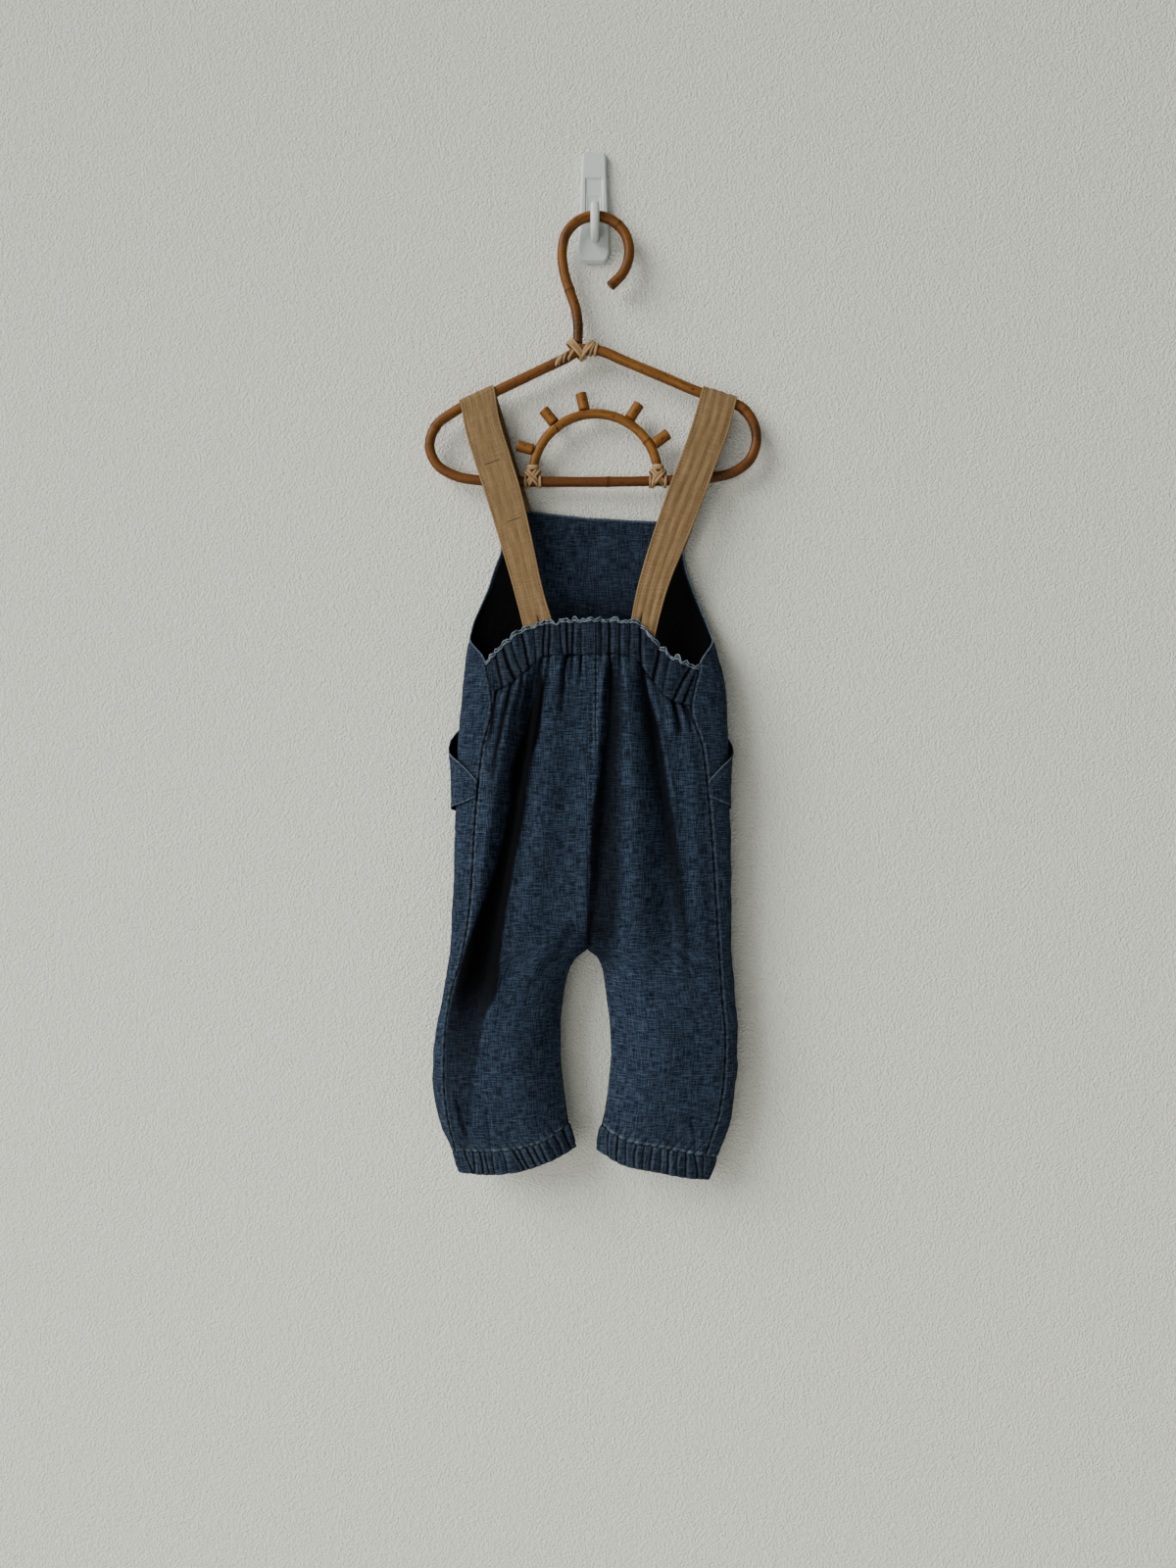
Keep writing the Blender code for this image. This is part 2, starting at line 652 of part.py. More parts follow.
def build_casing(look):
    """The elastic casing across the back, gathered all along."""
    columns = WAIST_GATHERS * STEPS_PER_GATHER + 1
    points = []
    for share in CASING_ROW_SHARES:
        for step in range(columns):
            across = -1 + 2 * step / (columns - 1)
            side = -1 if across < 0 else 1
            top = float(table_value(CASING_EDGES, 1, across))
            foot = float(table_value(CASING_EDGES, 2, across)) - CASING_LIFT
            drop = top + (foot - top) * share
            seam = seam_share(side, drop) + 2 * SEAM_HALF_GAP / round_length(side, drop)
            x, depth = form_point(side, 1 - abs(across) * (1 - seam), drop)
            wave = math.cos(2 * math.pi * step / STEPS_PER_GATHER + 0.6 * math.sin(step * 0.37))
            swell = WAIST_GATHER_DEPTH * (0.8 + 0.2 * math.sin(step * 0.9)) * min(1.0, (1 - abs(across)) * 14)
            points.append(np.array([x, depth + swell * wave, -drop]))
    cloth_wall("back_waistband", points, grid_faces(len(CASING_ROW_SHARES), columns), CASING_WALL, look)


def build_cuff(name, side, look):
    """A gathered elastic ring at the foot of a leg."""
    columns = CUFF_GATHERS * STEPS_PER_GATHER
    points = []
    for share_down in CUFF_ROW_SHARES:
        for step in range(columns):
            share = step / columns
            top = cuff_line(side, share, False) + CUFF_LOWER
            foot = cuff_line(side, share, True)
            drop = top + (foot - top) * share_down
            x, depth = form_point(side, share, drop)
            turn = 2 * math.pi * share
            wave = math.cos(2 * math.pi * step / STEPS_PER_GATHER + 0.5 * math.sin(3 * turn))
            swell = CUFF_GATHER_DEPTH * wave * (0.8 + 0.2 * math.sin(5 * turn))
            x -= side * swell * math.cos(turn)
            depth += swell * math.sin(turn)
            points.append(np.array([x, depth, -drop]))
    cloth_wall(name, points, grid_faces(len(CUFF_ROW_SHARES), columns, closed=True), CUFF_WALL, look)


def between(grid, row_place, column_place):
    """A grid's value at a place between its rows and columns."""
    row, column = int(row_place), int(column_place)
    down, over = row_place - row, column_place - column
    upper = grid[row][column] * (1 - over) + grid[row][column + 1] * over
    lower = grid[row + 1][column] * (1 - over) + grid[row + 1][column + 1] * over
    return upper * (1 - down) + lower * down


def build_pocket(name, side, surface, normals, look):
    """A patch made from the front panel's points, moved out, with its mouth standing open."""
    first_row = BIB_ROWS + CASING_ROWS
    middle = len(FRONT_COLUMNS) - 1
    points = []
    for row in range(POCKET_ROWS + 1):
        down = row / POCKET_ROWS
        for share, mouth, foot in POCKET_EDGES:
            drop = mouth + (foot - mouth) * down
            waist = level(WAIST_LEVEL, side * share)
            row_place = first_row + (drop - waist) / (CROTCH_DROP - waist) * SEAT_ROWS
            column_place = middle + side * float(np.interp(share, FRONT_COLUMNS, range(len(FRONT_COLUMNS))))
            reach = POCKET_GAPE * (1 - down) ** 2 + POCKET_BULGES[side] * (1 - BULGE_FALL * down)
            bulge = reach * math.exp(-(((share - BULGE_PLACE) / BULGE_WIDTH) ** 2))
            place = between(surface, row_place, column_place)
            out = between(normals, row_place, column_place)
            points.append(place + out * (POCKET_LIFT + bulge))
    cloth_wall(name, points, grid_faces(POCKET_ROWS + 1, len(POCKET_EDGES)), POCKET_WALL, look)


def smooth_path(points, count, closed=False):
    """Evenly spaced points on a smooth curve through the given ones."""
    points = np.asarray(points, float)
    if closed:
        points = np.concatenate([points[-2:], points, points[:3]])
    run = np.concatenate([[0.0], np.cumsum(np.linalg.norm(np.diff(points, axis=0), axis=1))])
    slopes = np.diff(points, axis=0) / np.diff(run)[:, None]
    tangents = np.concatenate([slopes[:1], np.zeros_like(points[1:-1]), slopes[-1:]])
    before, after = np.diff(run)[:-1, None], np.diff(run)[1:, None]
    tangents[1:-1] = (slopes[:-1] * after + slopes[1:] * before) / (before + after)
    start, end = (run[2], run[-3]) if closed else (run[0], run[-1])
    at = np.linspace(start, end, count + 1)[:-1] if closed else np.linspace(start, end, count)
    row = np.clip(np.searchsorted(run, at, side="right") - 1, 0, len(run) - 2)
    step = np.diff(run)[row][:, None]
    share = ((at - run[row]) / np.diff(run)[row])[:, None]
    rise = share * share * (3 - 2 * share)
    return (
        points[row] * (1 - rise)
        + points[row + 1] * rise
        + tangents[row] * step * share * (1 - share) ** 2
        - tangents[row + 1] * step * share**2 * (1 - share)
    )


def strap_rows(front_rows, crossing, back_rows):
    """The strap's left and right edge points, from the bib over the hanger's bar to the casing."""
    left_x, left_drop, right_x, right_drop = crossing
    slope = math.atan2(right_drop - left_drop, right_x - left_x)
    up_x, up_drop = math.sin(slope), -math.cos(slope)
    wrap = []
    for step in range(WRAP_STEPS + 1):
        turn = math.pi * (step / WRAP_STEPS - 0.5)
        rise, depth = STRAP_WRAP_RADIUS * math.cos(turn), HANGER_DEPTH - STRAP_WRAP_RADIUS * math.sin(turn)
        over_x, over_drop = up_x * rise, up_drop * rise
        wrap.append((left_x + over_x, left_drop + over_drop, right_x + over_x, right_drop + over_drop, depth))
    front = smooth_path(list(front_rows) + wrap[:1], STRAP_FRONT_STEPS)
    back = smooth_path(wrap[-1:] + list(back_rows), STRAP_BACK_STEPS)
    return np.concatenate([front, wrap[1:-1], back])


def build_strap(name, front_rows, crossing, back_rows, look):
    points = []
    rows = strap_rows(front_rows, crossing, back_rows)
    for left_x, left_drop, right_x, right_drop, depth in rows:
        left, right = np.array([left_x, depth, -left_drop]), np.array([right_x, depth, -right_drop])
        for step in range(STRAP_COLUMNS):
            share = step / (STRAP_COLUMNS - 1)
            points.append(left * (1 - share) + right * share)
    cloth_wall(name, points, grid_faces(len(rows), STRAP_COLUMNS), STRAP_WALL, look)


def tube(name, path, radius, sides, look, closed=False):
    """A round cane bent in the hanger's plane."""
    path = np.asarray(path)
    count = len(path)
    vertices = []
    for index in range(count):
        before = path[index - 1] if closed or index else path[0]
        after = path[(index + 1) % count] if closed or index < count - 1 else path[-1]
        along = (after - before) / np.linalg.norm(after - before)
        for side in range(sides):
            turn = 2 * math.pi * (side + 0.5) / sides
            out = radius * math.cos(turn)
            vertices.append(
                (
                    path[index][0] + out * along[1],
                    HANGER_DEPTH + radius * math.sin(turn),
                    -(path[index][1] - out * along[0]),
                )
            )
    faces = []
    for index in range(count if closed else count - 1):
        following = (index + 1) % count
        for side in range(sides):
            other = (side + 1) % sides
            here, there = index * sides, following * sides
            faces.append((here + side, here + other, there + other, there + side))
    if not closed:
        faces.append(tuple(range(sides)))
        faces.append(tuple(range((count - 1) * sides, count * sides)))
    return finish_object(name, vertices, faces, look)


def arc_path():
    """The half sun, which stands upright on its feet."""
    low = math.asin((ARC_CENTRE[1] - ARC_FOOT_DROP) / ARC_RADIUS)
    turns = np.linspace(math.pi - low, low, ARC_STEPS + 1)
    return np.stack(
        [ARC_CENTRE[0] + ARC_RADIUS * np.cos(turns), ARC_CENTRE[1] - ARC_RADIUS * np.sin(turns)], axis=1
    )


def build_rays(look):
    """Short canes that stand on the half sun, each leaning a little off its own radius."""
    outside = ARC_RADIUS + ARC_CANE_RADIUS * math.cos(math.pi / CANE_SIDES)
    for number, (place, lean) in enumerate(RAYS, 1):
        place, lean = math.radians(place), math.radians(lean)
        tip_in = RAY_RADIUS * math.sin(abs(lean - place)) - RAY_RADIUS**2 / (2 * outside)
        reach = outside + RAY_GAP + max(0.0, tip_in)
        start = np.array([ARC_CENTRE[0] + reach * math.cos(place), ARC_CENTRE[1] - reach * math.sin(place)])
        end = start + RAY_LENGTH * np.array([math.cos(lean), -math.sin(lean)])
        tube(f"sun_ray_{number}", [start, (start + end) / 2, end], RAY_RADIUS, RAY_SIDES, look)


def cut(thing, tool, operation):
    step = thing.modifiers.new(operation, "BOOLEAN")
    step.operation = operation
    step.solver = "EXACT"
    step.object = tool
    bpy.context.view_layer.update()
    seen = thing.evaluated_get(bpy.context.evaluated_depsgraph_get())
    mesh = bpy.data.meshes.new_from_object(seen)
    thing.modifiers.clear()
    thing.data = mesh
    bpy.data.objects.remove(tool, do_unlink=True)


def build_lashing(name, bars, holes, look):
    """Split cane wound round a joint, as one sleeve over the canes that it ties."""
    made = None
    for number, (path, radius) in enumerate(bars):
        piece = tube(f"{name}_{number}", path, radius, LASHING_SIDES, look)
        if made is None:
            made = piece
            made.name = name
        else:
            cut(made, piece, "UNION")
    for number, (path, radius) in enumerate(holes):
        cut(made, tube(f"{name}_hole_{number}", path, radius, LASHING_SIDES, look), "DIFFERENCE")
    for face in made.data.polygons:
        face.use_smooth = False


def frame_part(frame, centre, reach):
    """The run of the frame's path near a joint."""
    near = [point for point in frame if math.hypot(point[0] - centre[0], point[1] - centre[1]) < reach]
    return sorted(near, key=lambda point: point[0])


def prism(name, outline, low, high, edge, place, look):
    """A flat outline pushed from low to high along the third axis, with rounded edges."""
    vertices = [place(a, b, low) for a, b in outline] + [place(a, b, high) for a, b in outline]
    count = len(outline)
    faces = [tuple(range(count)), tuple(range(count, 2 * count))[::-1]]
    faces += [(i, (i + 1) % count, (i + 1) % count + count, i + count) for i in range(count)]
    thing = finish_object(name, vertices, faces, look)
    if edge:
        rounded = thing.modifiers.new("Rounded edge", "BEVEL")
        rounded.width = edge * MM
        rounded.segments = 2
        rounded.limit_method = "ANGLE"
        rounded.angle_limit = math.radians(50)
        bpy.context.view_layer.update()
        seen = thing.evaluated_get(bpy.context.evaluated_depsgraph_get())
        mesh = bpy.data.meshes.new_from_object(seen)
        thing.modifiers.clear()
        thing.data = mesh
    return thing


def build_wall_hook(look):
    outline = PLATE_OUTLINE + [(-x, drop) for x, drop in reversed(PLATE_OUTLINE)]
    plate = prism(
        "wall_hook_plate", outline, -PLATE_THICKNESS, 0.0, PLATE_EDGE, lambda a, b, c: (a, c, -b), look
    )
    half = RECESS_HALF_WIDTH
    box = [(-half, RECESS_TOP), (half, RECESS_TOP), (half + 1, RECESS_FOOT), (-half - 1, RECESS_FOOT)]
    floor = -PLATE_THICKNESS + RECESS_DEPTH
    tool = prism("recess", box, -PLATE_THICKNESS - 5, floor, 0, lambda a, b, c: (a, c, -b), look)
    cut(plate, tool, "DIFFERENCE")
    for face in plate.data.polygons:
        face.use_smooth = False
    prism(
        "wall_hook_arm",
        ARM_OUTLINE,
        ARM_MIDDLE_X - ARM_HALF_WIDTH,
        ARM_MIDDLE_X + ARM_HALF_WIDTH,
        ARM_EDGE,
        lambda a, b, c: (c, a, -b),
        look,
    )


def build_hanger(cane, lashing):
    frame = smooth_path(FRAME_PATH, FRAME_STEPS, closed=True)
    tube("hanger_frame", frame, CANE_RADIUS, CANE_SIDES, cane, closed=True)
    hook = smooth_path(HOOK_PATH, HOOK_STEPS)
    tube("hanger_hook", hook, CANE_RADIUS, CANE_SIDES, cane)
    arc = arc_path()
    tube("sun_arc", arc, ARC_CANE_RADIUS, CANE_SIDES, cane)
    build_rays(cane)
    fine = smooth_path(FRAME_PATH, 8 * FRAME_STEPS, closed=True)
    hole_radius = CANE_RADIUS + LASHING_GAP
    sleeve_radius = hole_radius + LASHING_WALL
    for name, foot in (("lashing_left", arc[0]), ("lashing_right", arc[-1])):
        near = frame_part(fine, (foot[0], BAR_DROP), 16.0)
        bar_drop = float(np.interp(foot[0], [x for x, drop in near], [drop for x, drop in near]))
        bar = [(foot[0] - FOOT_LASHING_HALF, bar_drop), (foot[0] + FOOT_LASHING_HALF, bar_drop)]
        long_bar = [(foot[0] - 20, bar_drop), (foot[0] + 20, bar_drop)]
        lean = 0.8 if foot[0] < 0 else -0.8
        stand = [(foot[0], bar_drop), (foot[0] + lean, bar_drop - FOOT_LASHING_RISE)]
        tall = [(foot[0], bar_drop - 1), (foot[0] + lean * 2, bar_drop - 30)]
        build_lashing(
            name,
            [(bar, sleeve_radius), (stand, sleeve_radius - 0.3)],
            [(long_bar, hole_radius), (tall, hole_radius)],
            lashing,
        )
    left, middle, right = TOP_LASHING_LEFT, TOP_LASHING_MIDDLE, TOP_LASHING_RIGHT
    top_run = frame_part(fine, middle, 60.0)
    run = [point for point in top_run if left[0] <= point[0] <= right[0]][::6]
    hole = [point for point in top_run if left[0] - 12 <= point[0] <= right[0] + 12][::6]
    build_lashing(
        "lashing_top",
        [(run, sleeve_radius), ([(STEM_X, 133.0), (STEM_X, TOP_LASHING_RISE)], sleeve_radius - 0.4)],
        [(hole, hole_radius), ([(STEM_X, 131.0), (STEM_X, 100.0)], hole_radius)],
        lashing,
    )


def main():
    clear_scene()
    denim = material("denim", DENIM_COLOUR, 0.85)
    tan = material("strap_cloth", STRAP_COLOUR, 0.8)
    cane = material("cane", CANE_COLOUR, 0.45)
    lashing = material("split_cane", LASHING_COLOUR, 0.6)
    plastic = material("white_plastic", PLASTIC_COLOUR, 0.35)
    surface, normals = build_front(denim)
    build_back("back_left", -1, denim)
    build_back("back_right", 1, denim)
    build_casing(denim)
    build_pocket("pocket_left", -1, surface, normals, denim)
    build_pocket("pocket_right", 1, surface, normals, denim)
    build_cuff("cuff_left", -1, denim)
    build_cuff("cuff_right", 1, denim)
    build_strap("strap_left", LEFT_STRAP_FRONT, LEFT_CROSSING, LEFT_STRAP_BACK, tan)
    build_strap("strap_right", RIGHT_STRAP_FRONT, RIGHT_CROSSING, RIGHT_STRAP_BACK, tan)
    build_hanger(cane, lashing)
    build_wall_hook(plastic)


main()
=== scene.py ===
# Dresses the bib romper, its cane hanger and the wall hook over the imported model
# Sizes in the tables are millimetres. Drop is the distance below the origin and depth is the Y place
import math

import bpy
import numpy as np
from bpy.props import FloatProperty, FloatVectorProperty, PointerProperty
from bpy.types import Operator, Panel, PropertyGroup
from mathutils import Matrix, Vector


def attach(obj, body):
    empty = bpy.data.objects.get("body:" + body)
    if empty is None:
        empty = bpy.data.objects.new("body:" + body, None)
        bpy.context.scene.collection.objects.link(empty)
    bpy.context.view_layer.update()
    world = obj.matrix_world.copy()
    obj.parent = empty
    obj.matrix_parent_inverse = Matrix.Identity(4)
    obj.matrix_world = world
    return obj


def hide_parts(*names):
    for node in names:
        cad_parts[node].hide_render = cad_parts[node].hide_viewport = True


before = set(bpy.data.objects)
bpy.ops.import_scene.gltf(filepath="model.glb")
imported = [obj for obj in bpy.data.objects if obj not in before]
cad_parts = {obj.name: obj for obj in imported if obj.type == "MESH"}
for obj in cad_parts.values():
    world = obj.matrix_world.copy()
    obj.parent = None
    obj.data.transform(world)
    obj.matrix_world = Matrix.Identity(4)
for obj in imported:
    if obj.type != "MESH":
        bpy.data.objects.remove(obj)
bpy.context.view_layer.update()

bl_info = {
    "name": "Bib romper on a cane hanger",
    "version": (1, 0, 0),
    "blender": (4, 5, 0),
    "location": "View3D > Sidebar > Romper",
    "description": "Builds the cloth, cane and hook of a child's bib romper over its packed model",
    "category": "Object",
}

MM = 0.001

# Millimetres that no seam's mark reaches across, and what a cut piece has over the modelled cloth
FAR = 999.0
PLAIN_SPARE = 1.02
GATHERED_SPARE = 1.05

# The body's middle line and the level where the legs part
MIDDLE_X = -6.0
CROTCH_DROP = 659.5
PINCH_DROP = 622.0
PINCH_POWER = 1.5
RING_STEPS = 240
FORM_STEP = 1.5
FORM_TOP = 270.0
FORM_FOOT = 867.0
FRONT_SQUARENESS = 3.0
BACK_SQUARENESS = 2.6
INNER_SHARE = 0.35
LEG_ROUNDNESS = 0.85
SKIN = 0.7
BODY_DEPTH = -28.0
SEAM_FLAT = 16.0
INNER_FLAT = 14.0

# Puffs between creases: their height for each millimetre across, and how far a crease sinks
PUFF_SHARE = 0.17
SINK_SHARE = 0.5
DEEP_CREASE = 2.2
CREASE_SPREAD = 1.25
FAN = 0.0042

# The felled edge beside the middle seam
FELL_FOOT = 505.0
FELL_WIDTH = 7.2
CASING_SEAM_DROP = 430.0

# Rows and columns of the pieces
BACK_COLUMNS = 100
SEAT_ROWS = 200
LEG_ROWS = 140
FRONT_HALF_COLUMNS = 78
FRONT_LEG_ROWS = 86
CASING_GRID = (34, 420)
CUFF_GRID = (24, 430)
POCKET_GRID = (56, 54)
FRONT_ROWS = (13, 58, 12, 100)
FRONT_STRAP_STEPS = 100
WRAP_STEPS = 25
BACK_STRAP_STEPS = 190

# One row per level of the body: drop, left edge, right edge, front depth, edge depth, back depth
BODY_ROWS = [
    (270, -82, 80, -7, -8, -38), (307, -82.5, 80, -7, -8.5, -40), (325, -88.5, 82.5, -6.8, -9.5, -42),
    (342, -93.6, 87.7, -6.6, -11, -43), (359, -100.5, 93.8, -6.5, -14, -44),
    (376, -107, 100.4, -6.5, -18, -45.5), (390, -109.5, 104.6, -6.5, -22, -46.5),
    (411, -113.4, 110.8, -6.5, -25, -47.5), (436, -115.4, 115.2, -6.5, -26.5, -49),
    (470, -118.6, 116.8, -6.5, -27.5, -50.5), (520, -120.5, 117.4, -6.5, -28, -51),
    (560, -122.3, 119.2, -6.5, -28, -50.5), (600, -123.2, 119.4, -6.5, -27.5, -49.5),
    (644, -124.8, 120, -7, -27, -48), (866, -130, 120, -8, -27, -46),
]

# One row per level of the legs: drop, left outer and inner, right inner and outer, front and back depth
LEG_LEVELS = [
    (560, -122.3, -6, -6, 119.2, -6.5, -50), (644, -124.8, -6, -6, 120, -7, -48),
    (659.5, -126, -6, -6, 119.7, -7.5, -47), (667, -126.9, -15, 2.6, 120.6, -8, -46.5),
    (679, -128.8, -22, 7.6, 121.8, -8, -46.5), (700, -132.5, -26.5, 10.4, 123.6, -8, -47),
    (726, -137.2, -29, 13.6, 125.2, -8, -48), (750, -140.6, -29, 14.6, 125.5, -8, -48),
    (775, -141, -27, 12.6, 124, -8.5, -47.5), (795, -138.8, -24.6, 10.2, 121.6, -9.5, -46),
    (814, -133, -22.6, 7.2, 118.6, -11, -44), (836, -122.6, -16.8, 3.8, 108.8, -12.5, -42),
    (866, -114, -13, 2, 97, -13, -41),
]

# Where the side seams lie on the back: drop, left, right
SIDE_SEAMS = [
    (374, -104, 98), (411, -94, 91.8), (450, -88, 83.4), (485, -96, 93.5), (540, -102, 99.8),
    (616, -107, 105.3), (660, -113.5, 108), (700, -124.5, 110.4), (735, -129, 113.4), (770, -129.8, 112.1),
    (800, -127.6, 107.9), (836, -119.5, 97), (866, -112, 92),
]

# The casing's two long edges: place from the left seam (-1) by the middle (0) to the right (1), top, foot
CASING_EDGES = [
    (-1, 411.4, 436.6), (-0.8, 396, 430.5), (-0.6, 384, 418), (-0.4, 377.5, 406), (-0.2, 375, 404.8),
    (0, 374.3, 404.6), (0.2, 374.3, 403.5), (0.4, 376.5, 407.5), (0.6, 396, 427.5), (0.8, 408.5, 444),
    (1, 415.6, 449.2),
]

# Front panel levels at the left edge, the middle and the right edge
BIB_TOP = (270.2, 278.7, 283.3)
ARMHOLE_FOOT = (411.4, 413.5, 415.6)
WAIST_LEVEL = (436.6, 442.0, 449.2)
ARMHOLE_TURN = 380.0
BIB_HEM = 9.0

# Cuff edges: share of the way from the inner to the outer edge, left top, left foot, right top, right foot
CUFF_EDGES = [
    (0, 812, 833, 814, 835), (0.25, 825, 842.5, 825, 845.5), (0.5, 832, 850.5, 829.5, 850.5),
    (0.75, 834, 853.5, 836, 856), (1, 834.5, 853, 841, 860),
]

# Folds of the back: start, middle and end as drop and x, half width at the start and the end,
# lean (positive is steeper on the right) and depth into the body
BACK_FOLDS = [
    (414, -48, 590, -79, 750, -108, 4.5, 13, 0.45, 14), (410, 43, 541, 60.5, 700, 69, 5, 13, 0.5, 7.5),
    (408, 13, 530, 8, 652, 0.5, 3.5, 12, -0.4, 7), (430, -37, 560, -48, 690, -70, 13, 17, 0, -3.5),
    (430, 29, 560, 36, 690, 44, 12, 17, 0, -3), (460, 84, 560, 91, 700, 95, 9, 12, 0, -2),
    (440, -75, 520, -86, 630, -102, 7, 8, 0, -2.5), (700, -75, 760, -70, 822, -66, 16, 16, 0, -2.5),
    (700, 62, 760, 58, 822, 60, 18, 18, 0, -2.5),
]

# Folds of the front, in the same columns
FRONT_FOLDS = [
    (430, -40, 560, -62, 740, -96, 11, 14, 0, 4.5), (430, 34, 560, 56, 740, 84, 11, 14, 0, 4.5),
    (450, -4, 560, -5, 650, -6, 10, 10, 0, 3), (700, -70, 760, -72, 824, -74, 13, 13, 0, 3.5),
    (700, 64, 760, 64, 824, 66, 13, 13, 0, 3.5),
]

# Small creases of the back, in the same columns
SMALL_FOLDS = [
    (432, -83, 465, -90.5, 520, -98, 1.8, 3, 0.2, 3.4), (428, -70.5, 462, -78, 530, -90, 2, 4, 0.2, 3),
    (414, -58, 440, -64, 490, -74, 1.8, 3.5, 0, 2), (404, -22.5, 425, -26, 462, -28.5, 1.6, 3, 0.3, 3.4),
    (404, -10.5, 418, -11.4, 438, -12, 1.4, 2.4, 0, 2), (404, 13.2, 425, 13.4, 455, 14, 1.7, 2.6, 0.2, 3),
    (404, 22.5, 425, 23.5, 450, 24.5, 1.6, 3, 0, 1.6), (404, -37, 420, -38.5, 445, -40, 1.6, 3, 0, 1.6),
    (440, 67, 455, 71.5, 488, 77, 1.8, 4, 0.2, 4.2), (446, 76, 456, 82, 476, 86, 1.6, 2.6, 0, 2.6),
    (424, 52, 450, 57, 500, 64, 2, 3.5, 0, 1.4), (640, 8, 655, 16, 690, 40, 4, 7, 0, 1.6),
    (640, -16, 655, -26, 700, -58, 4, 7, 0, 1.6), (790, -118, 812, -112.5, 833, -105.5, 2, 2.4, 0, 2.4),
    (800, -92, 815, -90, 834, -88.5, 2, 2.4, 0, 1.6), (805, 84, 820, 87, 838, 89, 2, 2.4, 0, 1.8),
    (800, 24, 815, 22, 832, 19, 2, 2.4, 0, 1.6),
]

# Painted shade where deep folds lie in their own shadow and look black: softness of the left and the right
# limit, then rows of drop, left limit, right limit and strength
DARK_BANDS = [
    (5, 2.5, [
        (400, -46.5, -42, 0.95), (415, -49.5, -44.5, 1), (431, -50, -43.5, 1), (465, -60, -46, 1),
        (500, -71, -54, 1), (541, -75.5, -59.5, 1), (592, -88, -69, 1), (642, -106, -77, 1),
        (667, -114.5, -80, 1), (693, -121, -83, 0.95), (718, -126.5, -94, 0.75), (743, -129.5, -99, 0.6),
        (775, -130, -104, 0.45), (805, -127, -106, 0.3), (833, -120, -104, 0.2),
    ]),
    (14, 2.5, [
        (398, 34, 42.5, 0.95), (431, 38.5, 47, 0.95), (465, 42.5, 55.5, 0.95), (500, 47, 61.5, 0.85),
        (541, 55, 68, 0.88), (592, 62, 75, 0.8), (642, 69, 80, 0.65), (700, 78, 84, 0),
    ]),
    (2, 13, [
        (404, 12, 16, 0.9), (431, 12.5, 24, 0.9), (465, 10, 25, 0.9), (500, 5.5, 23, 0.86),
        (541, -2, 24, 0.8), (592, -3.8, 24, 0.76), (642, -6.5, 20, 0.75), (667, -4, 16, 0.5),
        (684, -4, 12, 0),
    ]),
]

# Painted shade along thin creases, in the columns of the folds, with a strength
DARK_CREASES = [
    (430, -84, 465, -88, 500, -95, 1.8, 2.4, 0, 0.9), (428, -70.5, 465, -79, 545, -94, 2.4, 3.6, 0, 0.85),
    (404, -24.5, 431, -26, 465, -29.5, 1.4, 2.4, 0, 0.9),
    (404, -10.8, 414, -11.4, 430, -12, 1.2, 1.6, 0, 0.6), (436, 68, 455, 71.5, 482, 76, 1.6, 2.6, 0, 0.85),
    (444, 77, 456, 82, 474, 86, 1.4, 2, 0, 0.6), (628, -2.5, 645, -4.4, 668, -6.6, 2, 2.2, 0, 1),
    (796, -115, 812, -112, 833, -105.8, 1.3, 1.6, 0, 0.5),
]

# Creases of the casing: x at its top, x at its foot, half width and depth
CASING_CREASES = [
    (-84.7, -79.2, 1.1, 2.8), (-79.9, -68, 1.2, 3), (-73, -62, 0.9, 1.5), (-63.1, -55.4, 1.1, 2.8),
    (-52, -50, 0.9, 1.3), (-42.8, -43.5, 1, 2.4), (-38, -38.7, 1, 2), (-30.3, -26.8, 0.9, 1.8),
    (-24, -21.9, 1.1, 3), (-18.1, -18.4, 1.1, 3), (-11.4, -10.7, 0.8, 1.3), (5.6, 6.2, 0.8, 1.4),
    (12.6, 13.6, 1.2, 3), (22.8, 21.4, 1, 1.7), (31, 30, 0.9, 1.3), (39.6, 40.3, 1.2, 3),
    (56.3, 50.7, 1.2, 3), (66, 58, 0.8, 0.9), (84.2, 66.8, 1.2, 3), (90.6, 75.2, 1.2, 3),
]
# The deeper casing creases made wider, for the painted shade that they spread along the casing's foot
WIDE_CREASES = [(top, foot, 2.4 * width, depth) for top, foot, width, depth in CASING_CREASES if depth > 1.9]

# Creases round the back of each cuff: x at its top, x at its foot, half width and depth
CUFF_BACK_CREASES = {
    -1: [
        (-112.4, -105.6, 1, 2.4), (-104.9, -103.4, 0.9, 1.8), (-98.9, -95.9, 0.9, 2),
        (-94.6, -91.1, 0.8, 1.6), (-88.3, -86.3, 0.8, 1.1), (-79, -74, 0.9, 1.2), (-68.8, -59.8, 1.1, 2.4),
        (-64.3, -55.3, 1, 2.2), (-56.8, -49.2, 1, 2.2), (-52.2, -43.2, 0.9, 2), (-46.2, -38.7, 0.9, 1.9),
        (-38, -31.5, 0.8, 1.2), (-31, -25.5, 0.9, 1.6), (-23.7, -17.7, 1, 2.2),
    ],
    1: [
        (10.5, 11, 0.9, 1.7), (18.3, 19.1, 1, 2.2), (26.5, 26, 0.8, 1.3), (34.5, 33.6, 0.9, 1.7),
        (41.5, 41, 0.8, 1.2), (48.5, 47.5, 0.9, 1.7), (57, 56, 0.8, 1.3), (64.2, 62.7, 1, 2.4),
        (72, 71.5, 0.8, 1.3), (79.5, 80.5, 0.9, 1.8), (88.3, 91.3, 1, 2.4), (96.5, 96, 0.8, 1.6),
    ],
}

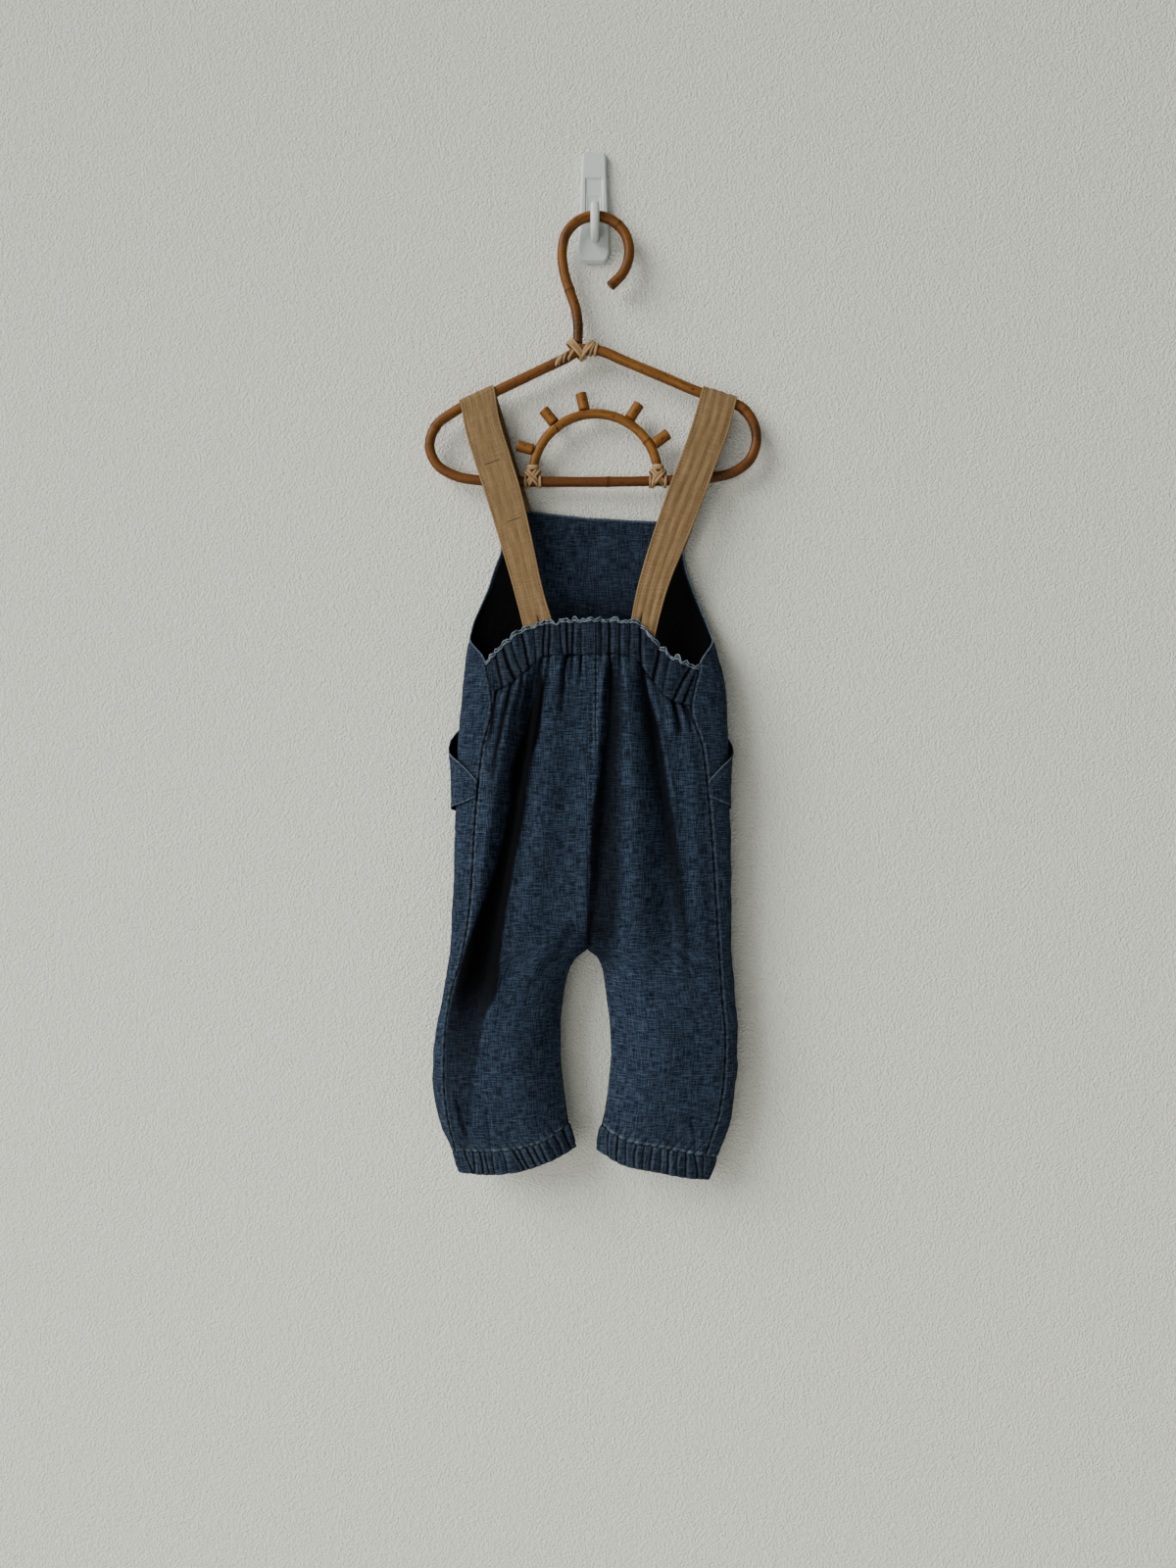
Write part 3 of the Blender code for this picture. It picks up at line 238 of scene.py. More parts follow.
# Creases round the front of a cuff: share of the way round at its top and foot, half width and depth
CUFF_FRONT_CREASES = [
    (0.035, 0.030, 0.9, 1.6), (0.085, 0.090, 1, 2.2), (0.130, 0.122, 0.9, 1.5), (0.180, 0.185, 1.1, 2.4),
    (0.235, 0.228, 0.9, 1.7), (0.275, 0.284, 1, 2.2), (0.330, 0.326, 0.9, 1.5), (0.375, 0.384, 1.1, 2.3),
    (0.430, 0.424, 0.9, 1.6), (0.470, 0.476, 1, 2),
]
CUFF_TOP_LEVEL = 833.0
CUFF_FOOT_LEVEL = 852.0
CUFF_SEAM_DROP = 830.0

# Pocket edges: share of the way round the front panel's half, mouth drop, foot drop
POCKET_EDGES = [
    (0.48, 447.5, 545), (0.58, 451.5, 545), (0.66, 459, 543), (0.73, 472, 540.5), (0.79, 484, 538.5),
    (0.84, 491, 536), (0.89, 497.5, 533.5), (0.94, 504.5, 530.5), (0.998, 513.5, 526.5),
]
POCKET_LIFT = 1.6
POCKET_GAPE = 2.6

# How far each pocket stands out over the hip, left and right, and the place and width of that bulge
POCKET_BULGES = {-1: 4.0, 1: 0.8}
BULGE_PLACE = 0.77
BULGE_WIDTH = 0.13
BULGE_FALL = 0.25

# Straps from the bib's outer face up to the hanger: left x and drop, right x and drop, depth
LEFT_STRAP_FRONT = [
    (-72.6, 318, -44, 309, -4.7), (-84.4, 281, -55.8, 272, -4.9), (-93.4, 253, -64.8, 244, -5.9),
    (-98.3, 237.5, -69.7, 228.4, -6.4), (-110, 202, -80.5, 190, -7.9),
]
RIGHT_STRAP_FRONT = [
    (47.4, 311, 75.6, 321, -4.7), (59.8, 277, 88, 287, -4.9), (70, 247, 98.4, 257, -5.9),
    (76, 229.5, 104.4, 239.5, -6.4), (88, 194, 117, 204, -7.9),
]

# Straps from the hanger down to the casing, in the same columns
LEFT_STRAP_BACK = [
    (-113.5, 203, -84, 190.5, -21.2), (-103.8, 236, -74, 225, -25), (-95, 263, -65.6, 253, -28),
    (-82.8, 302.8, -56, 293, -32), (-68, 353.8, -43.6, 350, -37), (-60.6, 383, -36.2, 376, -40),
    (-56, 402, -32, 396, -41),
]
RIGHT_STRAP_BACK = [
    (88, 193, 118.8, 204, -21.2), (77, 226, 107, 236, -25), (66.6, 253, 97, 263, -28),
    (53.5, 291, 82, 301, -32), (36.5, 350, 62, 352, -37), (32, 374, 54.5, 380, -40), (30, 396, 50, 402, -41),
]

# Where each strap crosses the hanger's top bar, on the bar's middle line: left x and drop, right x and drop
LEFT_CROSSING = (-117.2, 182.4, -87.2, 168.4)
RIGHT_CROSSING = (94.6, 169.8, 125.2, 179.6)
STRAP_WRAP_RADIUS = 5.7

# Crease marks across a strap's back run: side, drop, first and last place across
STRAP_MARKS = [(-1, 233.5, 0.20, 0.74), (-1, 286.5, 0.36, 0.84)]
STRAP_SLITS = {-1: 0.57, 1: 0.36}
STRAP_COLUMNS = 34
STRAP_RUNS = {
    -1: (LEFT_STRAP_FRONT, LEFT_CROSSING, LEFT_STRAP_BACK),
    1: (RIGHT_STRAP_FRONT, RIGHT_CROSSING, RIGHT_STRAP_BACK),
}

# Topstitching on a strap in metres: the strap's middle, the stitches' distance from it and their length
STITCH_CENTRE = 0.015
STITCH_OUT = 0.0129
STITCH_LENGTH = 0.0031

# The hanger, bent from cane in one plane
HANGER_DEPTH = -14.0
CANE_RADIUS = 4.5
CANE_SIDES = 20
CANE_GIRTH = 28.0
FRAME_PATH = [
    (-8, 131), (5, 132.6), (26, 141.2), (60, 155.3), (93.9, 169.5), (116, 176.6), (129.6, 182),
    (139.6, 193.5), (143.6, 212), (138, 228.5), (124.6, 239.4), (102.1, 245), (60, 247.4), (2.5, 248.5),
    (-50, 248.3), (-100.6, 247.2), (-122.2, 243.3), (-138.7, 233.3), (-145.4, 216.9), (-139.6, 199),
    (-123.4, 186.3), (-88.8, 169.5), (-60, 155.8), (-26, 139.6),
]
HOOK_PATH = [
    (14.5, 75.5), (26, 63), (31.2, 44), (26.6, 27.5), (14.6, 16.6), (1, 13.2), (-13.5, 17.4), (-24.6, 29),
    (-28.2, 45), (-26.8, 61), (-21.2, 80.5), (-16.4, 94.7), (-14.2, 109), (-14.4, 125.6),
]
ARC_CENTRE = (1.2, 243.7)
ARC_RADIUS = 55.4
ARC_CANE_RADIUS = 4.2
ARC_FOOT_DROP = 242.6
RAYS = [(157.0, 164.0), (127.6, 129.0), (99.3, 103.0), (59.3, 57.0), (29.0, 36.0)]
RAY_RADIUS = 5.0
RAY_LENGTH = 14.6
RAY_REACH = 59.8

# Distances along each cane of its joints, and of its scorched runs with their reach and strength
FRAME_TINTS = [
    (0, 0.6), (80, 0.75), (150, 0.3), (240, 0.1), (300, 0), (440, 0.1), (520, 0.45), (640, 0.4), (670, 0.6),
]
HOOK_TINTS = [(0, 0.35), (60, 0.45), (120, 0.5), (214, 0.2)]
FRAME_JOINTS = (152, 330, 520)
FRAME_BURNS = (
    (176, 10, 0.85), (205, 8, 0.45), (228, 14, 0.7), (262, 8, 0.4), (400, 30, 0.25), (648, 12, 0.75),
    (505, 8, 0.4),
)
HOOK_JOINTS = (62, 168)
HOOK_BURNS = ((203, 14, 0.9), (30, 18, 0.3), (118, 10, 0.35), (1, 3, 0.8))
ARC_JOINTS = (48, 140)
ARC_TINTS = [(0, 0.9)]
RAY_TINTS = [(0, 0.75)]
CANE_END_TONE = (0.25, 1.0, 0.0)
FRAME_STEPS, HOOK_STEPS, ARC_STEPS, RAY_STEPS = 420, 190, 130, 12
ARC_BURNS = ((10, 5, 0.4), (166, 9, 0.6))

# Lashings: node, its middle, then each turn's place from it, heading, reach, depth and step to the side
LASHINGS = [
    ("lashing_left", (-54.2, 248.3), [
        (0.3, -12.6, 0, 5, 5.2, 0), (0.2, -10.4, 4, 5.1, 5.3, 0), (-6.2, 0, 90, 5.5, 5.6, 0),
        (6.6, 0, 90, 5.5, 5.6, 0), (0.6, -3.6, 52, 8.6, 6, -1.3), (0.6, -3.6, 52, 8.6, 6, 1.3),
        (-0.4, -3.2, -46, 8.6, 6.5, -1.3), (-0.4, -3.2, -46, 8.6, 6.5, 1.3),
    ]),
    ("lashing_right", (56.6, 248), [
        (-0.3, -12.8, 0, 5, 5.2, 0), (-0.2, -10.4, -5, 5.1, 5.3, 0), (-6.8, 0, 90, 5.6, 5.6, 0),
        (6.4, 0, 90, 5.6, 5.6, 0), (-4.2, -0.2, 84, 5.8, 5.9, 0), (-0.6, -3.6, -50, 8.6, 6, -1.3),
        (-0.6, -3.6, -50, 8.6, 6, 1.3), (0.4, -3.2, 48, 8.6, 6.5, -1.3), (0.4, -3.2, 48, 8.6, 6.5, 1.3),
    ]),
    ("lashing_top", (-12, 132.5), [
        (-19.6, 9.6, 64, 5.5, 5.5, 0), (-17.2, 8.4, 62, 5.6, 5.6, 0), (-13.6, 6.4, 66, 5.5, 5.6, 0),
        (-8.5, 3.6, 58, 6.2, 5.9, -0.8), (-4.4, 0.4, -52, 10.6, 6, 3.4), (-4.4, 0.4, -50, 10.6, 6.2, 1.2),
        (-4, 0.2, -48, 10.4, 6.4, -1), (13.8, -0.6, 74, 5.4, 5.5, 0), (10.6, -1.2, 66, 6, 5.6, 0),
        (6.6, -0.8, 58, 8.4, 6, 1.6), (5.4, -0.8, 54, 9.6, 6.3, -0.4), (4.6, -0.8, 50, 10.2, 6.6, -2.4),
    ]),
]
RIBBON_WIDTH = 2.5
RIBBON_THICKNESS = 0.9
RIBBON_SQUARENESS = 0.8

# The wall hook's plate, drop and half width, and its arm: depth, drop, half thickness and share of its width
PLATE_ROWS = [
    (-48.5, 8.6), (-47.4, 10.4), (-45, 11.4), (-30, 12), (-10, 12.8), (20, 14), (40, 14.6), (44, 13.9),
    (47.4, 12), (49.4, 9.3), (50.4, 6),
]
PLATE_HEIGHT = 6.0
PLATE_ROUND = 2.6
INSET_HALF_WIDTH, INSET_TOP, INSET_FOOT = 7.8, -24.5, 13.0
PAD_TOP, PAD_LENGTH = 15.0, 35.0
ARM_STEPS = 60
PLATE_GRID = (150, 61)
ARM_ROWS = [
    (-4.6, 26.4, 7.4, 1), (-12, 26.6, 7.6, 1), (-17.4, 25, 6.4, 1), (-20.9, 21, 4.6, 1),
    (-22.6, 15.5, 3.5, 1), (-22.8, 9.5, 3.2, 1), (-22.7, 6.2, 2.7, 0.9), (-22.6, 4.5, 1.6, 0.66),
    (-22.6, 3.6, 0.1, 0.05),
]
ARM_MIDDLE_X = 0.8
ARM_HALF_WIDTH = 3.9
ARM_SIDES = 24
ARM_SQUARENESS = 0.8

# Camera, as the photo was taken
CAMERA_PLACE = (-0.0053, -1.135, -0.5157)
CAMERA_LENS = 29.1
WALL_DEPTH = 0.0006
FLOOR_DROP = 1.27
STAGE_REACH = 3.0
STAGE_TOP = 1.5
WALL_GRAIN = 1.0
NOISE_ROUGHNESS = 0.55

# Soft daylight from the upper left, with a low fill in front and another behind the wall.
# Each fill has its place, aim and size in metres, its power in watts and its colour
WORLD_COLOUR = (0.88, 0.92, 0.95)
WORLD_STRENGTH = 0.13
SUN_FROM = (-1.5, -1.0, 1.0)
SUN_STRENGTH = 4.4
SUN_SPREAD = 40.0
SUN_COLOUR = (1.0, 0.985, 0.945)
FILL = ((-0.9, -2.0, -1.15), (0.0, 0.0, -1.25), 1.6, 30.0, (1.0, 0.985, 0.96))
BACK_FILL = ((0.9, 1.7, 0.1), (0.0, 0.0, -0.45), 1.6, 45.0, (1.0, 0.985, 0.96))


def cubic(values, tangents, row, step, share):
    """A smooth curve's value on each step, from the values and tangents at its two ends."""
    rise = share * share * (3 - 2 * share)
    return (
        values[row] * (1 - rise)
        + values[row + 1] * rise
        + tangents[row] * step * share * (1 - share) ** 2
        - tangents[row + 1] * step * share**2 * (1 - share)
    )


def smooth_values(at, places, values):
    """A curve through the table's values that never overshoots them."""
    places, values = np.asarray(places, float), np.asarray(values, float)
    steps = np.diff(places)
    slopes = np.diff(values) / steps
    tangents = np.zeros(len(places))
    same = slopes[1:] * slopes[:-1] > 0
    both = slopes[1:] + slopes[:-1]
    tangents[1:-1][same] = 2 * slopes[1:][same] * slopes[:-1][same] / both[same]
    tangents[0], tangents[-1] = slopes[0], slopes[-1]
    at = np.clip(at, places[0], places[-1])
    row = np.clip(np.searchsorted(places, at, side="right") - 1, 0, len(steps) - 1)
    return cubic(values, tangents, row, steps[row], (at - places[row]) / steps[row])


def table_value(rows, index, at):
    return smooth_values(at, [row[0] for row in rows], [row[index] for row in rows])


def eased(share):
    share = np.clip(share, 0.0, 1.0)
    return share * share * (3 - 2 * share)


def run_length(path):
    """The distance along a path to each of its points."""
    return np.concatenate([[0.0], np.cumsum(np.linalg.norm(np.diff(path, axis=0), axis=1))])


def unit(vectors):
    return vectors / np.maximum(np.linalg.norm(vectors, axis=-1, keepdims=True), 1e-12)


def round_turns(sides):
    return 2 * math.pi * np.arange(sides) / sides


def even_steps(curve, count):
    run = run_length(curve)
    at = np.linspace(0.0, run[-1], count)
    return np.stack([np.interp(at, run, curve[:, axis]) for axis in (0, 1)], axis=1)


def body_curve(side, drop):
    """Half of the trunk's outline at this level, from centre front by the side to centre back."""
    edge_x = float(table_value(BODY_ROWS, 1 if side < 0 else 2, drop)) - side * SKIN
    front, edge, back = (float(table_value(BODY_ROWS, index, drop)) for index in (3, 4, 5))
    turn = np.linspace(0.0, math.pi / 2, 121)
    half_width = edge_x - MIDDLE_X
    fore_x = MIDDLE_X + half_width * np.sin(turn) ** (2 / FRONT_SQUARENESS)
    fore_y = edge + (front - edge) * np.cos(turn) ** (2 / FRONT_SQUARENESS)
    rear_x = MIDDLE_X + half_width * np.cos(turn) ** (2 / BACK_SQUARENESS)
    rear_y = edge + (back - edge) * np.sin(turn) ** (2 / BACK_SQUARENESS)
    curve = np.stack([np.concatenate([fore_x, rear_x[1:]]), np.concatenate([fore_y, rear_y[1:]])], axis=1)
    return even_steps(curve, RING_STEPS + 1)


def leg_curve(side, drop):
    """One leg's whole outline at this level, from its inner edge by the front and the outer edge and back."""
    outer_index, inner_index = (1, 2) if side < 0 else (4, 3)
    outer = float(table_value(LEG_LEVELS, outer_index, drop)) - side * SKIN
    inner = float(table_value(LEG_LEVELS, inner_index, drop))
    front, back = float(table_value(LEG_LEVELS, 5, drop)), float(table_value(LEG_LEVELS, 6, drop))
    middle = (front + back) / 2
    rise = np.linspace(0.0, 1.0, 60)
    turn = np.linspace(0.0, math.pi / 2, 100)[1:]
    outside = INNER_SHARE + (1 - INNER_SHARE) * np.sin(turn) ** LEG_ROUNDNESS
    across = np.concatenate([INNER_SHARE * rise, outside])
    depth = np.concatenate([1 - (1 - rise) ** 2, np.cos(turn) ** LEG_ROUNDNESS])
    x = inner + (outer - inner) * across
    fore = np.stack([x, middle + (front - middle) * depth], axis=1)
    rear = np.stack([x, middle + (back - middle) * depth], axis=1)[::-1]
    return even_steps(np.concatenate([fore, rear[1:]]), RING_STEPS + 1)


def leg_amount(drop):
    return eased((drop - PINCH_DROP) / (CROTCH_DROP - PINCH_DROP))


def ring(side, drop):
    """Half a body level: the trunk's outline, turning into the leg's as the crotch comes near."""
    share = float(leg_amount(drop)) ** PINCH_POWER
    if share <= 0.0:
        return body_curve(side, drop)
    if share >= 1.0:
        return leg_curve(side, drop)
    return (1 - share) * body_curve(side, drop) + share * leg_curve(side, drop)


FORM_DROPS = np.arange(FORM_TOP, FORM_FOOT + FORM_STEP / 2, FORM_STEP)
FORMS = {side: np.array([ring(side, drop) for drop in FORM_DROPS]) for side in (-1, 1)}
LENGTHS = {side: np.hypot(*np.moveaxis(np.diff(FORMS[side], axis=1), 2, 0)).sum(axis=1) for side in (-1, 1)}


def seam_shares(side):
    """At each level of the form, how far round the half level the side seam and the widest place lie."""
    seams, edges = [], []
    for row, drop in zip(FORMS[side], FORM_DROPS):
        target = float(table_value(SIDE_SEAMS, 1 if side < 0 else 2, drop))
        start = int(np.argmax(side * row[:, 0]))
        at = np.linspace(start / RING_STEPS, 1.0, len(row) - start)
        seams.append(np.interp(-side * target, -side * row[start:, 0], at))
        edges.append(start / RING_STEPS)
    return np.array(seams), np.convolve(np.pad(edges, 4, mode="edge"), np.ones(9) / 9, mode="valid")


SEAMS = {side: seam_shares(side) for side in (-1, 1)}


def seam_share(side, drop):
    return np.interp(drop, FORM_DROPS, SEAMS[side][0])


def front_edge_share(side, drop):
    """The front panel's edge: the armhole above the waist and the side seam below it."""
    foot = ARMHOLE_FOOT[0 if side < 0 else 2]
    toward = eased((drop - ARMHOLE_TURN) / (foot - ARMHOLE_TURN))
    widest = np.interp(drop, FORM_DROPS, SEAMS[side][1])
    above = widest * (1 - toward) + seam_share(side, foot) * toward
    return np.where(drop >= foot, seam_share(side, drop), above)


def round_length(side, drop):
    return np.interp(drop, FORM_DROPS, LENGTHS[side])


def form_points(side, share, drop):
    """The plain form's x and depth at shares of the way round the half levels."""
    row = np.clip((drop - FORM_TOP) / FORM_STEP, 0, len(FORM_DROPS) - 1.001)
    place = np.clip(share * RING_STEPS, 0, RING_STEPS - 0.001)
    low_row, low_place = row.astype(int), place.astype(int)
    down, over = (row - low_row)[..., None], (place - low_place)[..., None]
    grid = FORMS[side]
    upper = grid[low_row, low_place] * (1 - over) + grid[low_row, low_place + 1] * over
    lower = grid[low_row + 1, low_place] * (1 - over) + grid[low_row + 1, low_place + 1] * over
    return upper * (1 - down) + lower * down


def along_fold(fold, x, drop, start=30.0):
    """How far each point is from a fold's line, in half widths, and how much the fold has faded there."""
    drop_a, x_a, drop_b, x_b, drop_c, x_c, first_width, last_width, lean, _ = fold
    line = smooth_values(drop, (drop_a, drop_b, drop_c), (x_a, x_b, x_c))
    share = np.clip((drop - drop_a) / (drop_c - drop_a), 0.0, 1.0)
    width = (first_width + (last_width - first_width) * share) * np.where(x > line, 1 - lean, 1 + lean)
    fade_in = min(start, (drop_c - drop_a) * 0.3)
    fade_out = min(75.0, (drop_c - drop_a) * 0.6)
    ends = eased((drop - drop_a + 6) / fade_in) * eased((drop_c - drop) / fade_out)
    return (x - line) / width, ends


def shade_amount(x, drop):
    """How much painted shade darkens the deep folds and thin creases, from 0 to 1."""
    light = np.ones_like(x)
    for left_soft, right_soft, rows in DARK_BANDS:
        left, right, strength = (table_value(rows, index, drop) for index in (1, 2, 3))
        inside = eased((x - left) / left_soft + 0.5) * eased((right - x) / right_soft + 0.5)
        light *= 1 - strength * inside * (drop > rows[0][0])
    for crease in DARK_CREASES:
        away, ends = along_fold(crease, x, drop, 6.0)
        light *= 1 - np.minimum(1.0, 1.3 * crease[9] * ends * np.exp(-(away**2)))
    return 1 - light


def fold_depth(folds, x, drop, start=30.0):
    """How far the folds push points into the body."""
    total = np.zeros_like(x)
    for fold in folds:
        away, ends = along_fold(fold, x, drop, start)
        away = np.abs(away)
        total += fold[9] * ends * (np.exp(-away * away) - 0.25 * np.exp(-((away - 1.9) ** 2)))
    return total


def ripple(u, v, seed, shortest, longest, count=20, stretch=1.0):
    """Soft uneven waves over the cloth, between about -1 and 1."""
    rng = np.random.default_rng(seed)
    total = np.zeros_like(u)
    for _ in range(count):
        length = rng.uniform(shortest, longest)
        heading, phase = rng.uniform(0, math.pi), rng.uniform(0, 2 * math.pi)
        pull = 2 * math.pi / length
        total += np.cos(pull * (math.cos(heading) * u * stretch + math.sin(heading) * v / stretch) + phase)
    return total / math.sqrt(count)


def ridge(distance, width):
    """A soft line: 1 on it, fading over its width."""
    return np.exp(-((distance / width) ** 2))


def gathers(place, down, creases, most=1.9):
    """Rounded puffs between creases: how high the cloth stands, how much painted shade lies in each crease,
    and a painted highlight on the puffs beside it.
    """
    shape = np.broadcast(place, down).shape
    height, near, lip_highlight = np.zeros(shape), np.zeros(shape), np.zeros(shape)
    lines = [top + (foot - top) * down + 0.4 * np.sin(5 * down + top) for top, foot, _, _ in creases]
    depths = [crease[3] for crease in creases]
    for number in range(len(lines) - 1):
        start, end = lines[number], lines[number + 1]
        span = np.maximum(end - start, 1.5)
        along = (place - start) / span
        arc = np.sin(math.pi * np.clip(along, 0.0, 1.0)) ** 0.55
        sink = depths[number] * (1 - along) + depths[number + 1] * along
        puff = np.minimum(PUFF_SHARE * span, most) * arc - SINK_SHARE * sink * (1 - arc)
        height = np.where((along >= 0) & (along < 1), puff, height)
    ends = (lines[0], depths[0], place < lines[0]), (lines[-1], depths[-1], place >= lines[-1])
    for line, depth, beyond in ends:
        height = np.where(beyond, -SINK_SHARE * depth * ridge(place - line, 2.5), height)
    # Painted shade in each crease, and a painted highlight on the puffs a little to each side
    for line, (_, _, width, depth) in zip(lines, creases):
        amount = min(1.0, depth / DEEP_CREASE)
        near = np.maximum(near, np.minimum(1.0, 1.5 * amount * ridge(place - line, CREASE_SPREAD * width)))
        lip_highlight = np.maximum(lip_highlight, amount * ridge(np.abs(place - line) - 2.4 * width, 0.7 * width))
    return height, near, lip_highlight * (1 - near)


def cuff_creases(side):
    """One cuff's creases as places round it in millimetres, in the order that they come."""
    rows = list(CUFF_FRONT_CREASES)
    half = RING_STEPS // 2
    shares = np.linspace(0.5, 1.0, RING_STEPS - half + 1)
    for top_x, foot_x, width, depth in CUFF_BACK_CREASES[side]:
        top, foot = (
            float(np.interp(-side * x, -side * leg_curve(side, drop)[half:, 0], shares))
            for x, drop in ((top_x, CUFF_TOP_LEVEL), (foot_x, CUFF_FOOT_LEVEL))
        )
        rows.append((top, foot, width, depth))
    rows.sort()
    before, after = rows[-1], rows[0]
    rows = [(before[0] - 1, before[1] - 1, *before[2:])] + rows + [(after[0] + 1, after[1] + 1, *after[2:])]
    length = float(round_length(side, CUFF_TOP_LEVEL))
    return [(top * length, foot * length, width, depth) for top, foot, width, depth in rows]


def face_crosses(points, faces):
    corners = points[faces]
    return np.cross(corners[:, 2] - corners[:, 0], corners[:, 3] - corners[:, 1])


def vertex_normals(points, faces):
    crosses = face_crosses(points, faces)
    normals = np.zeros_like(points)
    for corner in range(4):
        np.add.at(normals, faces[:, corner], crosses)
    return unit(normals)


def quads(index):
    """Faces between neighbours in a table of point numbers."""
    return np.stack([index[:-1, :-1], index[:-1, 1:], index[1:, 1:], index[1:, :-1]], axis=2).reshape(-1, 4)


def grid_faces(rows, columns, closed=False, looped=False):
    """Faces of a grid of points, closed round its rows or looped from its last row to its first."""
    index = np.arange(rows * columns).reshape(rows, columns)
    if closed:
        index = np.concatenate([index, index[:, :1]], axis=1)
    return quads(np.concatenate([index, index[:1]]) if looped else index)


def add_mesh(name, points, faces, look, uv=None, tone=None, smooth=True):
    """A mesh object of quads from points in millimetres, with its weave's map and its tone of wear, burns,
    tint, painted highlight and painted shade.
    """
    mesh = bpy.data.meshes.new(name)
    faces = np.asarray(faces)
    mesh.vertices.add(len(points))
    mesh.vertices.foreach_set("co", (np.asarray(points, float) * MM).ravel())
    mesh.loops.add(faces.size)
    mesh.polygons.add(len(faces))
    mesh.polygons.foreach_set("loop_start", np.arange(0, faces.size, faces.shape[1]))
    mesh.loops.foreach_set("vertex_index", faces.ravel())
    mesh.update(calc_edges=True)
    if uv is not None:
        layer = mesh.uv_layers.new(name="cloth")
        layer.uv.foreach_set("vector", (np.asarray(uv, float) * MM)[faces.ravel()].ravel())
    if tone is not None:
        layer = mesh.color_attributes.new("tone", "FLOAT_COLOR", "POINT")
        full = np.concatenate([tone, np.ones((len(tone), 4 - tone.shape[1]))], axis=1)
        layer.data.foreach_set("color", full.ravel())
    mesh.polygons.foreach_set("use_smooth", np.full(len(faces), smooth))
    mesh.materials.append(look)
    thing = bpy.data.objects.new(name, mesh)
    bpy.context.collection.objects.link(thing)
    return thing


class Cloth:
    """A sheet of quads with its relief, its wear with painted highlights and its painted shade, which is then
    given its thickness.
    """

    def __init__(self, points, faces, relief, wear, shade, uv, centre=(MIDDLE_X, BODY_DEPTH)):
        points = np.asarray(points, float).reshape(-1, 3)
        facing = (vertex_normals(points, faces)[:, :2] * (points[:, :2] - centre)).sum()
        self.faces = faces if facing > 0 else faces[:, ::-1]
        self.points = points + vertex_normals(points, self.faces) * np.ravel(relief)[:, None]
        self.normals = vertex_normals(self.points, self.faces)
        tone = np.stack([np.ravel(wear), np.ravel(shade), np.zeros(len(points))], axis=1)
        self.tone = np.clip(tone, 0.0, 1.0)
        self.inner_tone = self.tone
        self.uv = np.stack([np.ravel(uv[0]), np.ravel(uv[1])], axis=1)

    def shade_inside(self, shade, wear=0.0):
        blank = np.zeros(len(self.points))
        self.inner_tone = np.stack([blank + wear, blank + shade, blank], axis=1)

    def area(self):
        return np.linalg.norm(face_crosses(self.points, self.faces), axis=1).sum() / 2 * MM * MM

    def build(self, name, thickness, look):
        """Both faces of the cloth and the rim between them, as one mesh."""
        count = len(self.points)
        edges = np.concatenate([self.faces[:, [i, (i + 1) % 4]] for i in range(4)])
        keys, backward = edges[:, 0] * count + edges[:, 1], edges[:, 1] * count + edges[:, 0]
        rim = edges[~np.isin(keys, backward)]
        rim_faces = np.stack([rim[:, 1], rim[:, 0], rim[:, 0] + count, rim[:, 1] + count], axis=1)
        faces = np.concatenate([self.faces, self.faces[:, ::-1] + count, rim_faces])
        half = self.normals * thickness / 2
        points = np.concatenate([self.points + half, self.points - half])
        tone = np.concatenate([self.tone, self.inner_tone])
        return add_mesh(name, points, faces, look, np.concatenate([self.uv, self.uv]), tone)


def sided(name, side):
    return name + ("_left" if side < 0 else "_right")


def declare(thing, nodes, area=None, flat=None, rests_on=(), with_pieces=()):
    """Hangs a piece from the root body and hides the model's nodes that it stands for."""
    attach(thing, "root")
    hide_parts(*nodes)
    if area is not None:
        area = min(area, flat[0] * flat[1])
        rests_on, with_pieces = list(rests_on), list(with_pieces)


def folded_grid(side, share, drop, seam, is_back):
    """Folded cloth that lies flat at its seams, and the painted shade of its deep folds."""
    base = form_points(side, share, drop)
    x, depth = base[..., 0], base[..., 1]
    length = round_length(side, drop)
    from_seam = np.abs(share - seam) * length
    to_inner = ((1 - share) if is_back else share) * length
    keep = eased(from_seam / SEAM_FLAT) * (1 - leg_amount(drop) * (1 - eased(to_inner / INNER_FLAT)))
    pushed = keep * fold_depth(BACK_FOLDS if is_back else FRONT_FOLDS, x, drop)
    shade = np.zeros_like(x)
    if is_back:
        pushed = pushed + eased(from_seam / 5.0) * fold_depth(SMALL_FOLDS, x, drop, 6.0)
        shade = shade_amount(x, drop)
    depth = depth + (pushed if is_back else -pushed)
    return np.stack([x, depth, -np.broadcast_to(drop, x.shape)], axis=-1), shade


def level(levels, across):
    left, middle, right = levels
    return np.where(across < 0, middle - (left - middle) * across, middle + (right - middle) * across)


def cuff_line(side, share, foot):
    across = 2 * np.minimum(share, 1 - share)
    return table_value(CUFF_EDGES, (1 if side < 0 else 3) + (1 if foot else 0), across)


def dashes(along, length, seed):
    """Uneven stitches along a seam, from 0 between them to 1."""
    wave = np.sin(2 * math.pi * along / length + 1.5 * np.sin(along / 9.0 + seed))
    return np.clip(0.5 + 0.9 * wave, 0.0, 1.0)


def seam_look(distance, along, seed):
    """A seam's relief, worn lines and shade, from the distance to it."""
    distance = distance + 0.35 * np.sin(2 * math.pi * along / 11.0 + 2 * np.sin(along / 13.0 + seed))
    pucker = ridge(distance - 3.0, 2.2) * np.sin(2 * math.pi * along / 7.3 + 2 * np.sin(along / 9.0 + seed))
    relief = -0.9 * ridge(distance, 1.2) + 0.25 * ridge(distance - 2.6, 1.6) + 0.22 * pucker
    wear = ridge(distance - 1.9, 0.6) * (0.10 + 0.34 * dashes(along, 5.1, seed))
    return relief, wear, 0.95 * ridge(distance, 1.05)


def with_seam(look, seam):
    """A cloth's relief, wear and shade with a seam's laid over them."""
    return look[0] + seam[0], np.maximum(look[1], seam[1]), np.maximum(look[2], seam[2])


